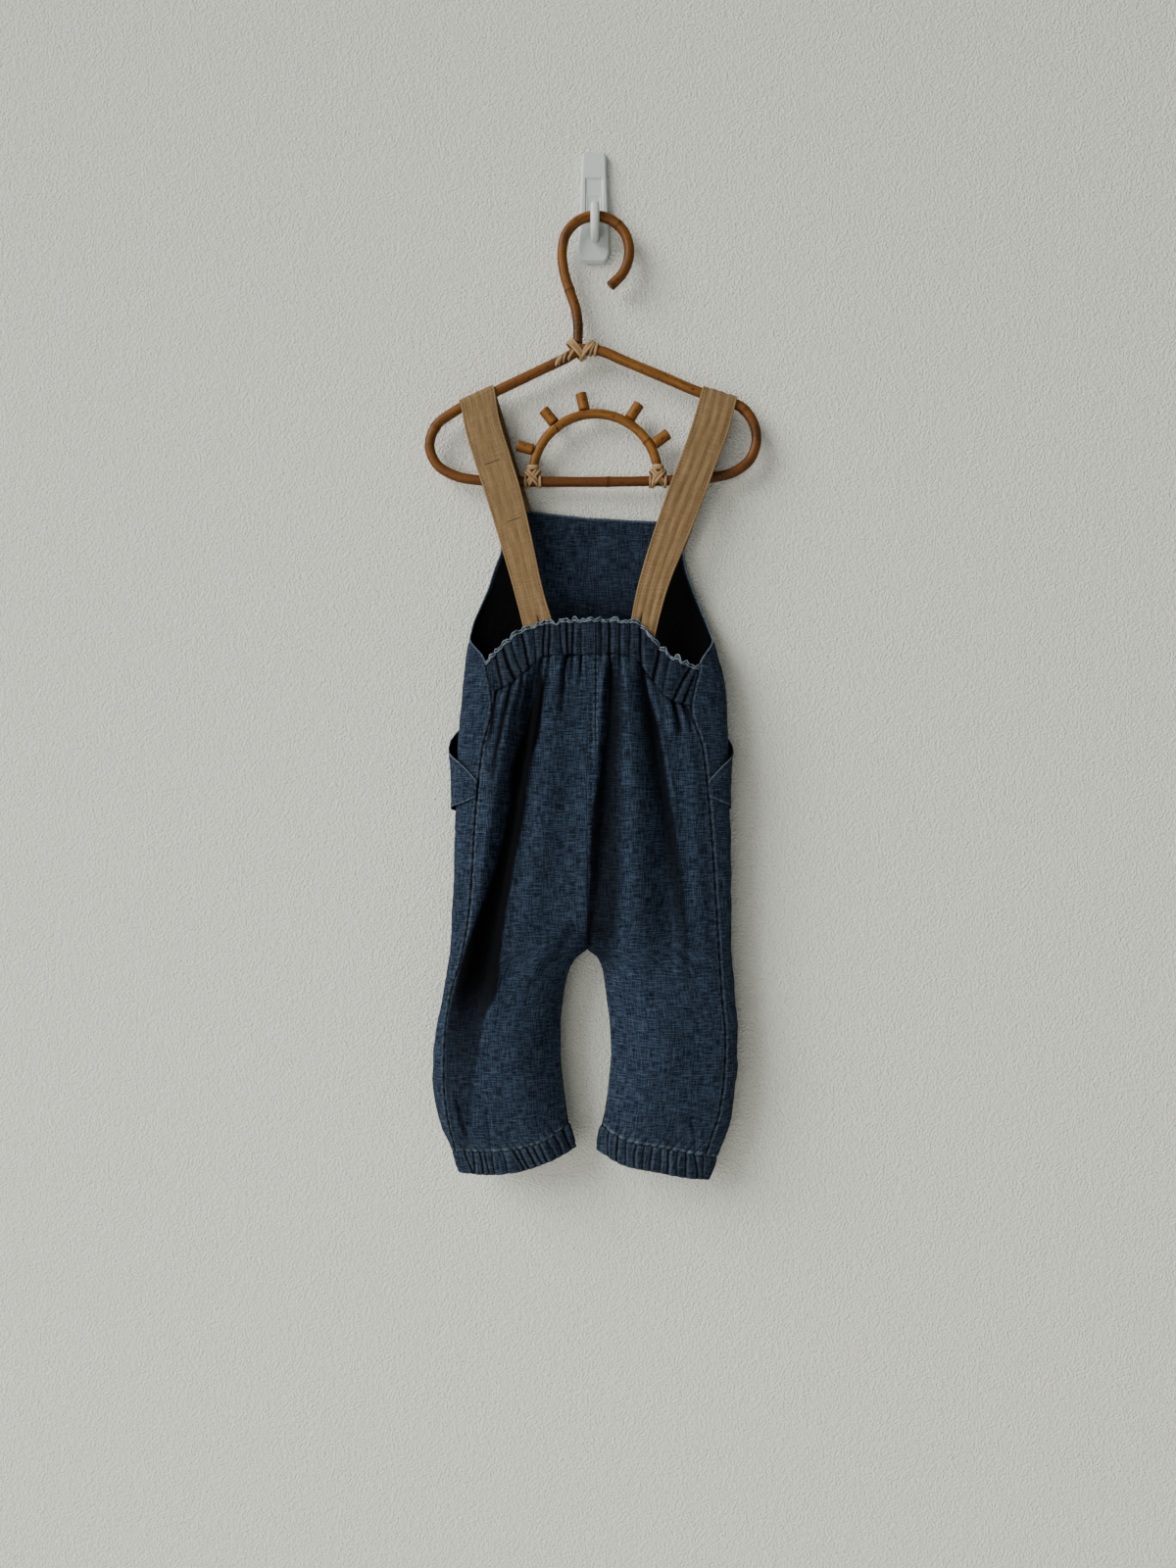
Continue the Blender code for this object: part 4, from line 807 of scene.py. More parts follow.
def uneven_steps(count, pull):
    """Steps from 0 to 1 that are closer together at both ends."""
    even = np.linspace(0.0, 1.0, count)
    return even - pull * np.sin(2 * math.pi * even) / (2 * math.pi)


def build_back(side, sizes, look):
    name = sided("back", side)
    across = uneven_steps(BACK_COLUMNS, 0.55)[::-1][None, :]
    top = table_value(CASING_EDGES, 2, side * across)
    foot = cuff_line(side, 1 - across * (1 - seam_share(side, CUFF_SEAM_DROP)), False)
    seat = top + (CROTCH_DROP - top) * np.linspace(0.0, 1.0, SEAT_ROWS + 1)[:, None] ** 1.15
    legs = CROTCH_DROP + (foot - CROTCH_DROP) * np.linspace(0.0, 1.0, LEG_ROWS + 1)[1:, None] ** 0.9
    drop = np.concatenate([seat, legs])
    seam = seam_share(side, drop)
    share = 1 - across * (1 - seam)
    grid, shade = folded_grid(side, share, drop, seam, True)
    length = round_length(side, drop)
    u, from_side, from_middle = side * (1 - share) * length, (share - seam) * length, (1 - share) * length
    below, above = drop - top, foot - drop
    # The gathers under the casing fan out as they fade
    fanned = (grid[..., 0] - MIDDLE_X) / (1 + FAN * below) + MIDDLE_X
    upper, upper_near, upper_lip_highlight = gathers(fanned, 1.0, CASING_CREASES)
    marks = gathers(fanned, 1.0, WIDE_CREASES)[1]
    lower, lower_near, lower_lip_highlight = gathers(share * length, 0.0, cuff_creases(side))
    upper_fade, lower_fade = np.exp(-below / 10.0), np.exp(-above / 7.0)
    calm = eased(from_side / 9.0) * (1 - leg_amount(drop) * (1 - eased(from_middle / 9.0)))
    relief = calm * (0.40 * ripple(u, drop, 3, 18, 46) + 0.12 * ripple(u, drop, 4, 5, 11, 26))
    relief += upper * upper_fade + lower * lower_fade
    relief -= 0.9 * ridge(below, 1.3) + 0.9 * ridge(above, 1.3)
    wear = 0.75 * ridge(above - 1.9, 0.9) * (0.5 + 0.5 * dashes(share * length, 6.0, 2))
    # Painted highlight on the puffs beside the creases, carried in the wear channel
    wear = np.maximum(wear, 0.2 * upper_lip_highlight * np.exp(-below / 12.0) + 0.3 * lower_lip_highlight * np.exp(-above / 7.0))
    # Painted shade in the creases under the casing and above the cuffs, and along the casing's foot
    shade = np.maximum(shade, 0.95 * upper_near * np.exp(-below / 9.0))
    shade = np.maximum(shade, 0.9 * lower_near * np.exp(-above / 6.0))
    shade = np.maximum(shade, (0.3 + 0.7 * marks) * ridge(below - 0.4, 1.4))
    surface = relief, wear, shade
    for distance, seed in ((from_side, 1), (np.where(drop > CROTCH_DROP, from_middle, FAR), 2)):
        surface = with_seam(surface, seam_look(distance, drop, seed))
    if side > 0:
        surface = with_seam(surface, middle_seam(from_middle, drop))
    relief, wear, shade = surface
    cloth = Cloth(grid, grid_faces(*drop.shape), relief, wear * (1 - shade), shade, (u, drop))
    thing = cloth.build(name + "_cloth", sizes.cloth / MM, look)
    declare(thing, [name], cloth.area() * PLAIN_SPARE, (0.19, 0.45), ["back_waistband"])


def middle_seam(from_middle, drop):
    """The felled seam down the middle: its folded edge near the waist and a column of stitch dents, with
    painted shade along the fold and in the dents.
    """
    edge = eased((FELL_FOOT - drop) / 45.0)
    dents = eased((drop - 436.0) / 10.0) * eased((580.0 - drop) / 20.0) * dashes(drop, 4.6, 0)
    dent_line = dents * ridge(from_middle - 3.2, 1.25)
    fold_line = edge * ridge(from_middle - FELL_WIDTH, 0.75)
    relief = 0.35 * edge * eased((FELL_WIDTH - from_middle) / 1.2) - 0.5 * dent_line - 0.3 * fold_line
    relief -= 0.35 * ridge(from_middle, 0.9)
    wear = 0.45 * edge * ridge(np.abs(from_middle - FELL_WIDTH) - 1.3, 0.5) * dashes(drop, 6.3, 3)
    return relief, wear, np.maximum(0.95 * fold_line, 0.95 * dent_line)


def front_values(side, across, drop):
    """Points of one half of the front, and the lengths that its relief is worked out from."""
    edge_place = front_edge_share(side, drop)
    share = across * edge_place
    grid, _ = folded_grid(side, share, drop, edge_place, False)
    length = round_length(side, drop)
    legs = np.broadcast_to(drop, share.shape) > CROTCH_DROP
    values = {
        "drop": np.broadcast_to(drop, share.shape),
        "u": side * share * length,
        "round": share * length,
        "edge": (edge_place - share) * length,
        "inner": np.where(legs, share * length, FAR),
        "above": np.where(legs, cuff_line(side, share, False) - drop, FAR),
        "below": drop - level(BIB_TOP, side * across),
        "side": np.full(share.shape, float(side)),
    }
    return grid, values


def front_grid():
    """Every point of the front: the bib and trunk across both halves, then each leg on from the crotch."""
    even = np.linspace(0.0, 1.0, FRONT_HALF_COLUMNS)
    half = even + 0.17 * np.sin(math.pi * even)
    across = np.concatenate([-half[::-1], half[1:]])[None, :]
    middle = len(half) - 1
    top = level(BIB_TOP, across)
    armhole, waist = level(ARMHOLE_FOOT, across), level(WAIST_LEVEL, across)
    levels = [top, top + BIB_HEM, armhole, waist, 0 * top + CROTCH_DROP]
    bands = [
        upper + (lower - upper) * (np.arange(count)[:, None] / count)
        for upper, lower, count in zip(levels, levels[1:], FRONT_ROWS)
    ]
    trunk = np.concatenate(bands + levels[-1:])
    across = np.broadcast_to(across, trunk.shape)
    left, left_values = front_values(-1, -across[:, : middle + 1], trunk[:, : middle + 1])
    right, right_values = front_values(1, across[:, middle + 1 :], trunk[:, middle + 1 :])
    points = [np.concatenate([left, right], axis=1).reshape(-1, 3)]
    found = {}
    for key, own in left_values.items():
        found[key] = [np.concatenate([own, right_values[key]], axis=1).ravel()]
    faces, count = [grid_faces(*trunk.shape)], trunk.size
    down = np.arange(1, FRONT_LEG_ROWS + 1)[:, None] / FRONT_LEG_ROWS
    for side in (-1, 1):
        own = half[::-1] if side < 0 else half
        first = trunk.size - trunk.shape[1] + (0 if side < 0 else middle)
        foot = cuff_line(side, own * front_edge_share(side, CUFF_SEAM_DROP), False)[None, :]
        drop = CROTCH_DROP + (foot - CROTCH_DROP) * down
        leg, values = front_values(side, np.broadcast_to(own, drop.shape), drop)
        upper, lower = first + np.arange(len(half))[None, :], count + np.arange(drop.size).reshape(drop.shape)
        faces.append(quads(np.concatenate([upper, lower])))
        points.append(leg.reshape(-1, 3))
        for key in values:
            found[key].append(values[key].ravel())
        count += drop.size
    return np.concatenate(points), np.concatenate(faces), {key: np.concatenate(found[key]) for key in found}


def build_front(sizes, look):
    points, faces, at = front_grid()
    drop, u, edge, above, below = at["drop"], at["u"], at["edge"], at["above"], at["below"]
    calm = eased(edge / 9.0) * eased(at["inner"] / 9.0)
    relief = calm * (0.40 * ripple(u, drop, 13, 18, 46) + 0.12 * ripple(u, drop, 14, 5, 11, 26))
    shade = np.zeros_like(u)
    for side in (-1, 1):
        own = at["side"] == side
        height, near, _ = gathers(at["round"][own], 0.0, cuff_creases(side))
        relief[own] += height * np.exp(-above[own] / 7.0)
        # Painted shade in the cuff's creases, fading up the leg
        shade[own] = 0.8 * near * np.exp(-above[own] / 5.0)
    relief -= 0.9 * ridge(above, 1.3)
    surface = relief, 0.6 * ridge(above - 1.9, 0.7) * dashes(at["round"], 6.0, 2), shade
    sewn = drop > ARMHOLE_FOOT[0]
    for distance, seed in ((np.where(sewn, edge, FAR), 1), (at["inner"], 2)):
        surface = with_seam(surface, seam_look(distance, drop, seed))
    relief, wear, shade = surface
    # The bib's hem, stitched a little way in from its edge
    hem = np.minimum(np.where(sewn, FAR, edge), below)
    hem_run = np.where(below < edge, u, drop)
    stitches = ridge(hem - 3.6, 0.6) * dashes(hem_run, 3.4, 5)
    relief += 0.45 * ridge(hem, 2.6) - 0.3 * stitches
    # A pale worn hem edge, and painted shade in the hem's stitch dents
    wear, shade = np.maximum(wear, 0.85 * ridge(hem, 0.9)), np.maximum(shade, 0.6 * stitches)
    cloth = Cloth(points, faces, relief, wear * (1 - shade), shade, (u, drop))
    # Inside, painted shade darkens the bib to its sides and toward the waist
    deep = eased((np.abs(cloth.points[:, 0] + 3.0) - 44.0) / 18.0) * eased((drop - 296.0) / 14.0)
    deep = np.maximum(deep, 0.22 + 0.45 * eased((drop - 335.0) / 40.0))
    inner_wear = 0.8 * ridge(hem, 1.5) * (0.6 + 0.4 * dashes(hem_run, 4.1, 9))
    cloth.shade_inside(np.maximum(deep * eased(hem / 4.0), 0.8 * stitches), inner_wear)
    thing = cloth.build("front_cloth", sizes.cloth / MM, look)
    rests_on = ["strap_left", "strap_right"]
    declare(thing, ["front"], cloth.area() * PLAIN_SPARE, (0.36, 0.60), rests_on)


def build_thread(name, path, radius, look, nodes):
    """A six-sided thread along a path in space."""
    sides = 6
    along = unit(np.gradient(path, axis=0))
    first = unit(np.cross(along, (0.0, 1.0, 0.15)))
    second = np.cross(along, first)
    turn = round_turns(sides)[None, :, None]
    grid = path[:, None] + radius * (np.cos(turn) * first[:, None] + np.sin(turn) * second[:, None])
    uv = np.stack([np.repeat(run_length(path), sides), np.tile(np.arange(sides) * 1.0, len(path))], axis=1)
    last = (len(path) - 1) * sides
    ends = np.array([[0, 1, 2, 3], [3, 4, 5, 0]])
    faces = np.concatenate([grid_faces(len(path), sides, closed=True)[:, ::-1], ends, last + ends[:, ::-1]])
    thing = add_mesh(name, grid.reshape(-1, 3), faces, look, uv, np.zeros((len(path) * sides, 3)))
    declare(thing, nodes)
    return thing


def build_casing(sizes, look, thread):
    rows, columns = CASING_GRID
    across = np.linspace(-1.0, 1.0, columns)[None, :]
    down = np.linspace(0.0, 1.0, rows)[:, None]
    top, foot = table_value(CASING_EDGES, 1, across), table_value(CASING_EDGES, 2, across)
    frill = np.exp(-down / 0.09)
    drop = top + (foot - top) * down + 1.6 * frill * ripple(across * 90, across * 0, 31, 5.0, 9, 8)
    across = np.broadcast_to(across, drop.shape)
    grid, distance = np.zeros((*drop.shape, 3)), np.zeros(drop.shape)
    for side in (-1, 1):
        own = across < 0 if side < 0 else across >= 0
        share = 1 - np.abs(across[own]) * (1 - seam_share(side, drop[own]))
        base = form_points(side, share, drop[own])
        grid[own] = np.stack([base[:, 0], base[:, 1], -drop[own]], axis=1)
        distance[own] = side * (1 - share) * round_length(side, drop[own])
    height, near, lip_highlight = gathers(grid[..., 0], down, CASING_CREASES, 2.9)
    marks = gathers(grid[..., 0], down, WIDE_CREASES)[1]
    ends = eased((1 - np.abs(across)) * 14)
    below, above = down * (foot - top), (1 - down) * (foot - top)
    relief = height * ends * (1 + 0.25 * frill) + frill * ripple(across * 90, across * 0, 32, 3.6, 6.5, 10)
    relief += 0.10 * ripple(distance, drop, 33, 4, 9, 20) - ridge(above, 1.2) - 0.4 * ridge(below - 4.6, 0.9)
    wear = np.maximum(0.5 * ridge(below - 0.7, 0.9), 0.3 * ridge(above - 1.9, 0.7) * dashes(distance, 4.4, 4))
    # Painted highlight on the puffs beside the creases, carried in the wear channel
    wear = np.maximum(wear, 0.3 * lip_highlight * ends)
    # Painted shade in the creases and along the foot, and over the whole band below its top edge
    shade = np.maximum(near * ends, (0.5 + 0.5 * marks) * ridge(above, 1.3))
    shade = np.maximum(shade, 0.38 * eased(below / 3.0))
    _, worn, dark = middle_seam(np.abs(distance), np.full_like(drop, CASING_SEAM_DROP))
    wear = np.where(distance > 0, np.maximum(wear, worn), wear)
    shade = np.where(distance > 0, np.maximum(shade, dark), shade)
    # Painted shade at both ends of the casing
    for end in (-1, 1):
        shade = np.maximum(shade, 0.8 * ridge((1 - end * across) * 100, 0.9))
    cloth = Cloth(grid, grid_faces(rows, columns), relief, wear * (1 - shade), shade, (distance, drop))
    thing = cloth.build("waistband_cloth", sizes.casing / MM, look)
    outer = (cloth.points + cloth.normals * (sizes.casing / MM / 2 + 0.15)).reshape(rows, columns, 3)
    threads = []
    for number, (row, rise) in enumerate(((0, 0.2), (2, 0.0)), 1):
        path = outer[row] + (0.0, 0.0, rise)
        path[:, 2] += 0.25 * np.sin(np.arange(columns) * 0.9 + number)
        name = f"waistband_thread_{number}"
        threads.append(build_thread(name, path, sizes.thread / MM, thread, ["back_waistband"]))
    area, flat = cloth.area() * GATHERED_SPARE, (0.30, 0.034)
    declare(thing, ["back_waistband"], area, flat, ["back_left", "back_right"], threads)


def build_cuff(side, sizes, look):
    name = sided("cuff", side)
    rows, columns = CUFF_GRID
    share = np.broadcast_to((np.arange(columns) / columns)[None, :], (rows, columns))
    down = np.linspace(0.0, 1.0, rows)[:, None]
    top, foot = cuff_line(side, share, False), cuff_line(side, share, True)
    drop = top + (foot - top) * down
    base = form_points(side, share, drop)
    grid = np.stack([base[..., 0], base[..., 1], -drop], axis=-1)
    place = share * round_length(side, CUFF_TOP_LEVEL)
    height, near, lip_highlight = gathers(place, down, cuff_creases(side), 1.8)
    relief = height * (0.8 + 0.3 * np.sin(math.pi * down)) + 0.08 * ripple(place, drop, 43, 4, 9, 20)
    relief -= 0.9 * ridge(down, 0.07) + 0.4 * ridge(down - 0.84, 0.05)
    # Painted shade in the creases and along the top seam, and the whole cuff a little darker
    shade = np.maximum(np.maximum(near, 0.2), (0.35 + 0.5 * near) * ridge(down * 20, 1.1))
    stitches = 0.3 * ridge(down * 20 - 2.0, 0.7) * dashes(place, 5.0, 6)
    # Pale worn foot edge and stitches, and a painted highlight beside the creases
    wear = np.maximum(np.maximum(0.5 * ridge((1 - down) * 20, 1.0), stitches), 0.35 * lip_highlight)
    centre = (grid[..., 0].mean(), BODY_DEPTH)
    faces = grid_faces(rows, columns, closed=True)
    cloth = Cloth(grid, faces, relief, wear * (1 - shade), shade, (place, drop), centre)
    cloth.shade_inside(0.5)
    thing = cloth.build(name + "_cloth", sizes.casing / MM, look)
    area, flat = cloth.area() * GATHERED_SPARE, (0.42, 0.036)
    declare(thing, [name], area, flat, [sided("back", side)])


def build_pocket(side, sizes, look):
    name = sided("pocket", side)
    rows, columns = POCKET_GRID
    across = np.linspace(POCKET_EDGES[0][0], POCKET_EDGES[-1][0], columns)[None, :]
    down = np.linspace(0.0, 1.0, rows)[:, None]
    mouth, foot = table_value(POCKET_EDGES, 1, across), table_value(POCKET_EDGES, 2, across)
    drop = mouth + (foot - mouth) * down
    across = np.broadcast_to(across, drop.shape)
    grid, values = front_values(side, across, drop)
    u, below, above = values["u"], drop - mouth, foot - drop
    reach = POCKET_GAPE * (1 - down) ** 2 + POCKET_BULGES[side] * (1 - BULGE_FALL * down)
    lift = POCKET_LIFT + reach * ridge(across - BULGE_PLACE, BULGE_WIDTH)
    lift += 0.15 * ripple(u, drop, 51, 6, 18) + 0.4 * ridge(below, 2.5)
    wear = np.maximum(0.8 * ridge(below, 0.9), 0.7 * ridge(above, 1.0) * (0.5 + 0.5 * dashes(u, 5.0, 7)))
    wear = np.maximum(wear, 0.3 * ridge(below - 7.0, 0.6) * dashes(u, 3.4, 8))
    cloth = Cloth(grid, grid_faces(rows, columns), lift, wear, 0 * drop, (u + 300, drop + 37))
    cloth.shade_inside(0.7)
    thing = cloth.build(name + "_cloth", sizes.cloth / MM, look)
    declare(thing, [name], cloth.area() * PLAIN_SPARE, (0.11, 0.12), ["front"])


def smooth_path(points, count, closed=False):
    """Evenly spaced points on a smooth curve through the given ones."""
    points = np.asarray(points, float)
    if closed:
        points = np.concatenate([points[-2:], points, points[:3]])
    run = run_length(points)
    steps = np.diff(run)
    slopes = np.diff(points, axis=0) / steps[:, None]
    before, after = steps[:-1, None], steps[1:, None]
    inner = (slopes[:-1] * after + slopes[1:] * before) / (before + after)
    tangents = np.concatenate([slopes[:1], inner, slopes[-1:]])
    start, end = (run[2], run[-3]) if closed else (run[0], run[-1])
    at = np.linspace(start, end, count, endpoint=not closed)
    row = np.clip(np.searchsorted(run, at, side="right") - 1, 0, len(run) - 2)
    return cubic(points, tangents, row, steps[row][:, None], ((at - run[row]) / steps[row])[:, None])


def strap_rows(front_rows, crossing, back_rows):
    """Both edges of a strap along its run: from the bib over the hanger's bar and down to the casing."""
    left_x, left_drop, right_x, right_drop = crossing
    slope = math.atan2(right_drop - left_drop, right_x - left_x)
    up_x, up_drop = math.sin(slope), -math.cos(slope)
    wrap = []
    for step in range(WRAP_STEPS):
        turn = math.pi * (step / (WRAP_STEPS - 1) - 0.5)
        rise, depth = STRAP_WRAP_RADIUS * math.cos(turn), HANGER_DEPTH - STRAP_WRAP_RADIUS * math.sin(turn)
        x, drop = up_x * rise, up_drop * rise
        wrap.append((left_x + x, left_drop + drop, right_x + x, right_drop + drop, depth))
    front = smooth_path(list(front_rows) + wrap[:1], FRONT_STRAP_STEPS)
    back = smooth_path(wrap[-1:] + list(back_rows), BACK_STRAP_STEPS)
    return np.concatenate([front, wrap[1:-1], back])


def build_strap(side, sizes, look):
    name = sided("strap", side)
    rows = strap_rows(*STRAP_RUNS[side])
    left, right = rows[:, [0, 4, 1]] * (1, 1, -1), rows[:, [2, 4, 3]] * (1, 1, -1)
    place = np.broadcast_to(np.linspace(0.0, 1.0, STRAP_COLUMNS), (len(rows), STRAP_COLUMNS))
    grid = left[:, None] * (1 - place[..., None]) + right[:, None] * place[..., None]
    along = np.broadcast_to(run_length((left + right) / 2)[:, None], place.shape)
    drop, to_edge = -grid[..., 2], np.minimum(place, 1 - place)
    behind = np.arange(len(rows)) > FRONT_STRAP_STEPS + WRAP_STEPS // 2
    is_back = np.broadcast_to(behind[:, None], place.shape)
    ribs = np.sin(2 * math.pi * (place * 4.0 + 0.1 * np.sin(along / 37.0)) + 0.7)
    relief = (0.30 if side > 0 else 0.12) * ribs * eased(to_edge * 7)
    relief += 0.12 * ripple(place * 30, along, 61 + side, 9, 40, 16, 1.6)
    relief -= 0.30 * ridge(to_edge - 0.07, 0.025)
    wear, shade = 0.25 * ridge(to_edge, 0.03), 0 * place
    for own_side, mark_drop, first, last in STRAP_MARKS:
        if own_side == side:
            inside = is_back * eased((place - first) * 14) * eased((last - place) * 14)
            away = drop - (rows[:, 3] - rows[:, 1])[:, None] * (place - 0.5) - mark_drop
            # Each crease mark is a dent with painted shade in it and a painted highlight beside it, carried
            # in the wear channel
            relief -= 0.45 * inside * ridge(away, 0.7)
            shade = np.maximum(shade, 0.75 * inside * ridge(away, 0.55))
            wear = np.maximum(wear, 0.5 * inside * ridge(away + 1.5, 0.6))
    # The strap pinches where it goes in behind the casing, with painted shade in its slit and a painted
    # shadow where it meets the casing
    casing = table_value(CASING_EDGES, 1, np.clip((grid[..., 0] - 0.5) / 93.0, -1, 1))
    close = is_back * np.clip(1 - (casing - drop) / 13.0, 0.0, 1.0)
    pinch = np.minimum(1.0, 3 * close) * ridge(place - STRAP_SLITS[side], 0.012 + 0.05 * close)
    relief -= 1.2 * pinch
    shade = np.maximum(np.maximum(shade, pinch), 0.35 * is_back * ridge(np.minimum(drop - casing, 0), 2.2))
    centre = (grid[..., 0].mean(), HANGER_DEPTH)
    cloth = Cloth(grid, grid_faces(*place.shape), relief, wear, shade, (place * 30, along), centre)
    cloth.shade_inside(0.0)
    thing = cloth.build(name + "_cloth", sizes.strap / MM, look)
    declare(thing, [name], cloth.area() * PLAIN_SPARE, (0.034, 0.40), ["hanger_frame"])


def tube_points(path, radii, closed):
    """Rings round a path in the hanger's plane."""
    radii = radii[:, None]
    ahead = np.roll(path, -1, axis=0) if closed else np.concatenate([path[1:], path[-1:]])
    behind = np.roll(path, 1, axis=0) if closed else np.concatenate([path[:1], path[:-1]])
    along = unit(ahead - behind)
    turn = round_turns(CANE_SIDES)[None, :]
    out = radii * np.cos(turn)
    x, drop = path[:, :1] + out * along[:, 1:], path[:, 1:] - out * along[:, :1]
    return np.stack([x, HANGER_DEPTH + radii * np.sin(turn), -drop], axis=-1)


def build_cane(name, path, radius, look, node, tints, closed=False, joints=(), burns=(), seed=1):
    """A length of cane with its joints and scorched runs, and its grain mapped along it."""
    sides, count, run = CANE_SIDES, len(path), run_length(path)
    radii = radius * (1 + 0.02 * ripple(run, run * 0, seed, 30, 90, 6))
    dark = np.zeros(count)
    for place in joints:
        radii = radii + 0.35 * ridge(run - place, 1.6)
        dark = np.maximum(dark, 0.9 * ridge(run - place, 0.9))
    for place, reach, amount in burns:
        dark = np.maximum(dark, amount * ridge(run - place, reach) * (0.8 + 0.2 * np.sin(run * 1.7)))
    grid = tube_points(path, radii, closed)
    points = grid.reshape(-1, 3)
    rings = np.arange(count * sides).reshape(count, sides)
    faces = grid_faces(count, sides, closed=True, looped=closed)
    uv = np.stack([np.repeat(run, sides), np.tile(np.arange(sides) / sides * CANE_GIRTH, count)], axis=1)
    tint = np.interp(run, *np.transpose(tints))
    # Painted shade along the cane's two sides in the hanger's plane, kept in the tone's third channel
    stain = np.abs(np.cos(round_turns(sides))) ** 5
    tone = np.stack([np.repeat(dark, sides), np.repeat(tint, sides), np.tile(stain, count)], axis=1)
    for end in () if closed else (0, count - 1):
        own = rings[end][::-1] if end else rings[end]
        points = np.concatenate([points, grid[end].mean(axis=0)[None]])
        uv = np.concatenate([uv, uv[end * sides][None]])
        tone = np.concatenate([tone, [CANE_END_TONE]])
        middle = np.full(sides // 2, len(points) - 1)
        cap = np.stack([np.roll(own[::2], -1), own[1::2], own[::2], middle], axis=1)
        faces = np.concatenate([faces, cap])
    declare(add_mesh(name, points, faces, look, uv, tone), [node])


def arc_path(count):
    """The half sun's arc, from its left foot on the bar over to its right foot."""
    low = math.asin((ARC_CENTRE[1] - ARC_FOOT_DROP) / ARC_RADIUS)
    turns = np.linspace(math.pi - low, low, count)
    across, drop = ARC_CENTRE
    return np.stack([across + ARC_RADIUS * np.cos(turns), drop - ARC_RADIUS * np.sin(turns)], axis=1)


def build_canes(look):
    path = smooth_path(FRAME_PATH, FRAME_STEPS, closed=True)
    marks = FRAME_TINTS, True, FRAME_JOINTS, FRAME_BURNS, 1
    build_cane("frame_cane", path, CANE_RADIUS, look, "hanger_frame", *marks)
    path = smooth_path(HOOK_PATH, HOOK_STEPS)
    marks = HOOK_TINTS, False, HOOK_JOINTS, HOOK_BURNS, 2
    build_cane("hook_cane", path, CANE_RADIUS, look, "hanger_hook", *marks)
    path = arc_path(ARC_STEPS)
    build_cane("arc_cane", path, ARC_CANE_RADIUS, look, "sun_arc", ARC_TINTS, False, ARC_JOINTS, ARC_BURNS, 3)
    for number, (place, lean) in enumerate(RAYS, 1):
        place, lean = math.radians(place), math.radians(lean)
        start = np.array(ARC_CENTRE) + RAY_REACH * np.array([math.cos(place), -math.sin(place)])
        end = start + RAY_LENGTH * np.array([math.cos(lean), -math.sin(lean)])
        path = start + (end - start) * np.linspace(0, 1, RAY_STEPS)[:, None]
        node = f"sun_ray_{number}"
        build_cane(f"ray_cane_{number}", path, RAY_RADIUS, look, node, RAY_TINTS, seed=4 + number)


def ribbon_loop(centre, heading, reach, depth, offset, steps=40, sides=8):
    """One turn of split cane: an oblong loop across the canes, seen from the front at this heading."""
    heading = math.radians(heading)
    across = np.array([math.cos(heading), 0.0, math.sin(heading)])
    beside = np.array([-math.sin(heading), 0.0, math.cos(heading)])
    inward = np.array([0.0, 1.0, 0.0])
    turn = np.linspace(0.0, 2 * math.pi, steps, endpoint=False)
    wide, deep = oblong(turn, RIBBON_SQUARENESS)
    middle = np.array([centre[0], HANGER_DEPTH, -centre[1]]) + beside * offset
    path = middle + reach * wide[:, None] * across + depth * deep[:, None] * inward
    outward = unit(depth * np.cos(turn)[:, None] * across + reach * np.sin(turn)[:, None] * inward)[:, None]
    side_turn = round_turns(sides)[None, :, None]
    width = RIBBON_WIDTH / 2 * (1 + 0.08 * np.sin(3 * turn + centre[0]))[:, None, None]
    grid = path[:, None] + width * np.cos(side_turn) * beside
    grid = grid + RIBBON_THICKNESS / 2 * np.sin(side_turn) * outward
    run = np.repeat(turn * (reach + depth) / 2, sides)
    uv = np.stack([run, np.tile(np.arange(sides) * 0.7, steps)], axis=1)
    return grid.reshape(-1, 3), grid_faces(steps, sides, closed=True, looped=True), uv


def oblong(turn, squareness):
    """A circle's two coordinates, squared up."""
    return (np.sign(part) * np.abs(part) ** squareness for part in (np.cos(turn), np.sin(turn)))


def build_lashings(look):
    for name, centre, loops in LASHINGS:
        points, faces, uv, count = [], [], [], 0
        for across, down, heading, reach, depth, offset in loops:
            place = (centre[0] + across, centre[1] + down)
            own, own_faces, own_uv = ribbon_loop(place, heading, reach, depth, offset)
            points.append(own)
            faces.append(own_faces + count)
            uv.append(own_uv + len(points) * 7.0)
            count += len(own)
        points, faces, uv = (np.concatenate(part) for part in (points, faces, uv))
        thing = add_mesh(name + "_ribbons", points, faces, look, uv, np.zeros((count, 3)))
        declare(thing, [name])


def build_plate(look):
    """The plate as a moulded face over the wall, with its inset and its crowned pad."""
    rows, columns = PLATE_GRID
    top, foot = PLATE_ROWS[0][0], PLATE_ROWS[-1][0]
    across = np.linspace(-1.0, 1.0, columns)[None, :]
    drop = np.linspace(top, foot, rows)[:, None]
    half = table_value(PLATE_ROWS, 1, drop)
    x = across * half
    edge = np.minimum(half * (1 - np.abs(across)), np.minimum(drop - top, foot - drop))
    height = PLATE_HEIGHT * (1 - np.clip(1 - edge / PLATE_ROUND, 0, 1) ** 2.6)
    inset = eased((INSET_HALF_WIDTH - np.abs(x)) / 0.7)
    inset = inset * eased((drop - INSET_TOP) / 0.8) * eased((INSET_FOOT - drop) / 0.8)
    height = height - 1.2 * inset + 0.5 * inset * ridge(np.maximum(np.abs(x) - 6.2, -9.2 - drop), 0.75)
    crown = (1 - across**2) * np.sin(math.pi * np.clip((drop - PAD_TOP) / PAD_LENGTH, 0, 1)) ** 0.6
    height = np.maximum(height - eased(drop - PAD_TOP) * (1.2 - 0.9 * crown), 0.0)
    drop, blank = np.broadcast_to(drop, x.shape), 0 * x
    grid = np.stack([x, -height / 2, -drop], axis=-1)
    plate = Cloth(grid, grid_faces(rows, columns), blank, blank, blank, (x, drop), (0.0, 50.0))
    plate.normals = np.stack([blank, -height, blank], axis=-1).reshape(-1, 3)
    declare(plate.build("plate_face", 1.0, look), ["wall_hook_plate"])


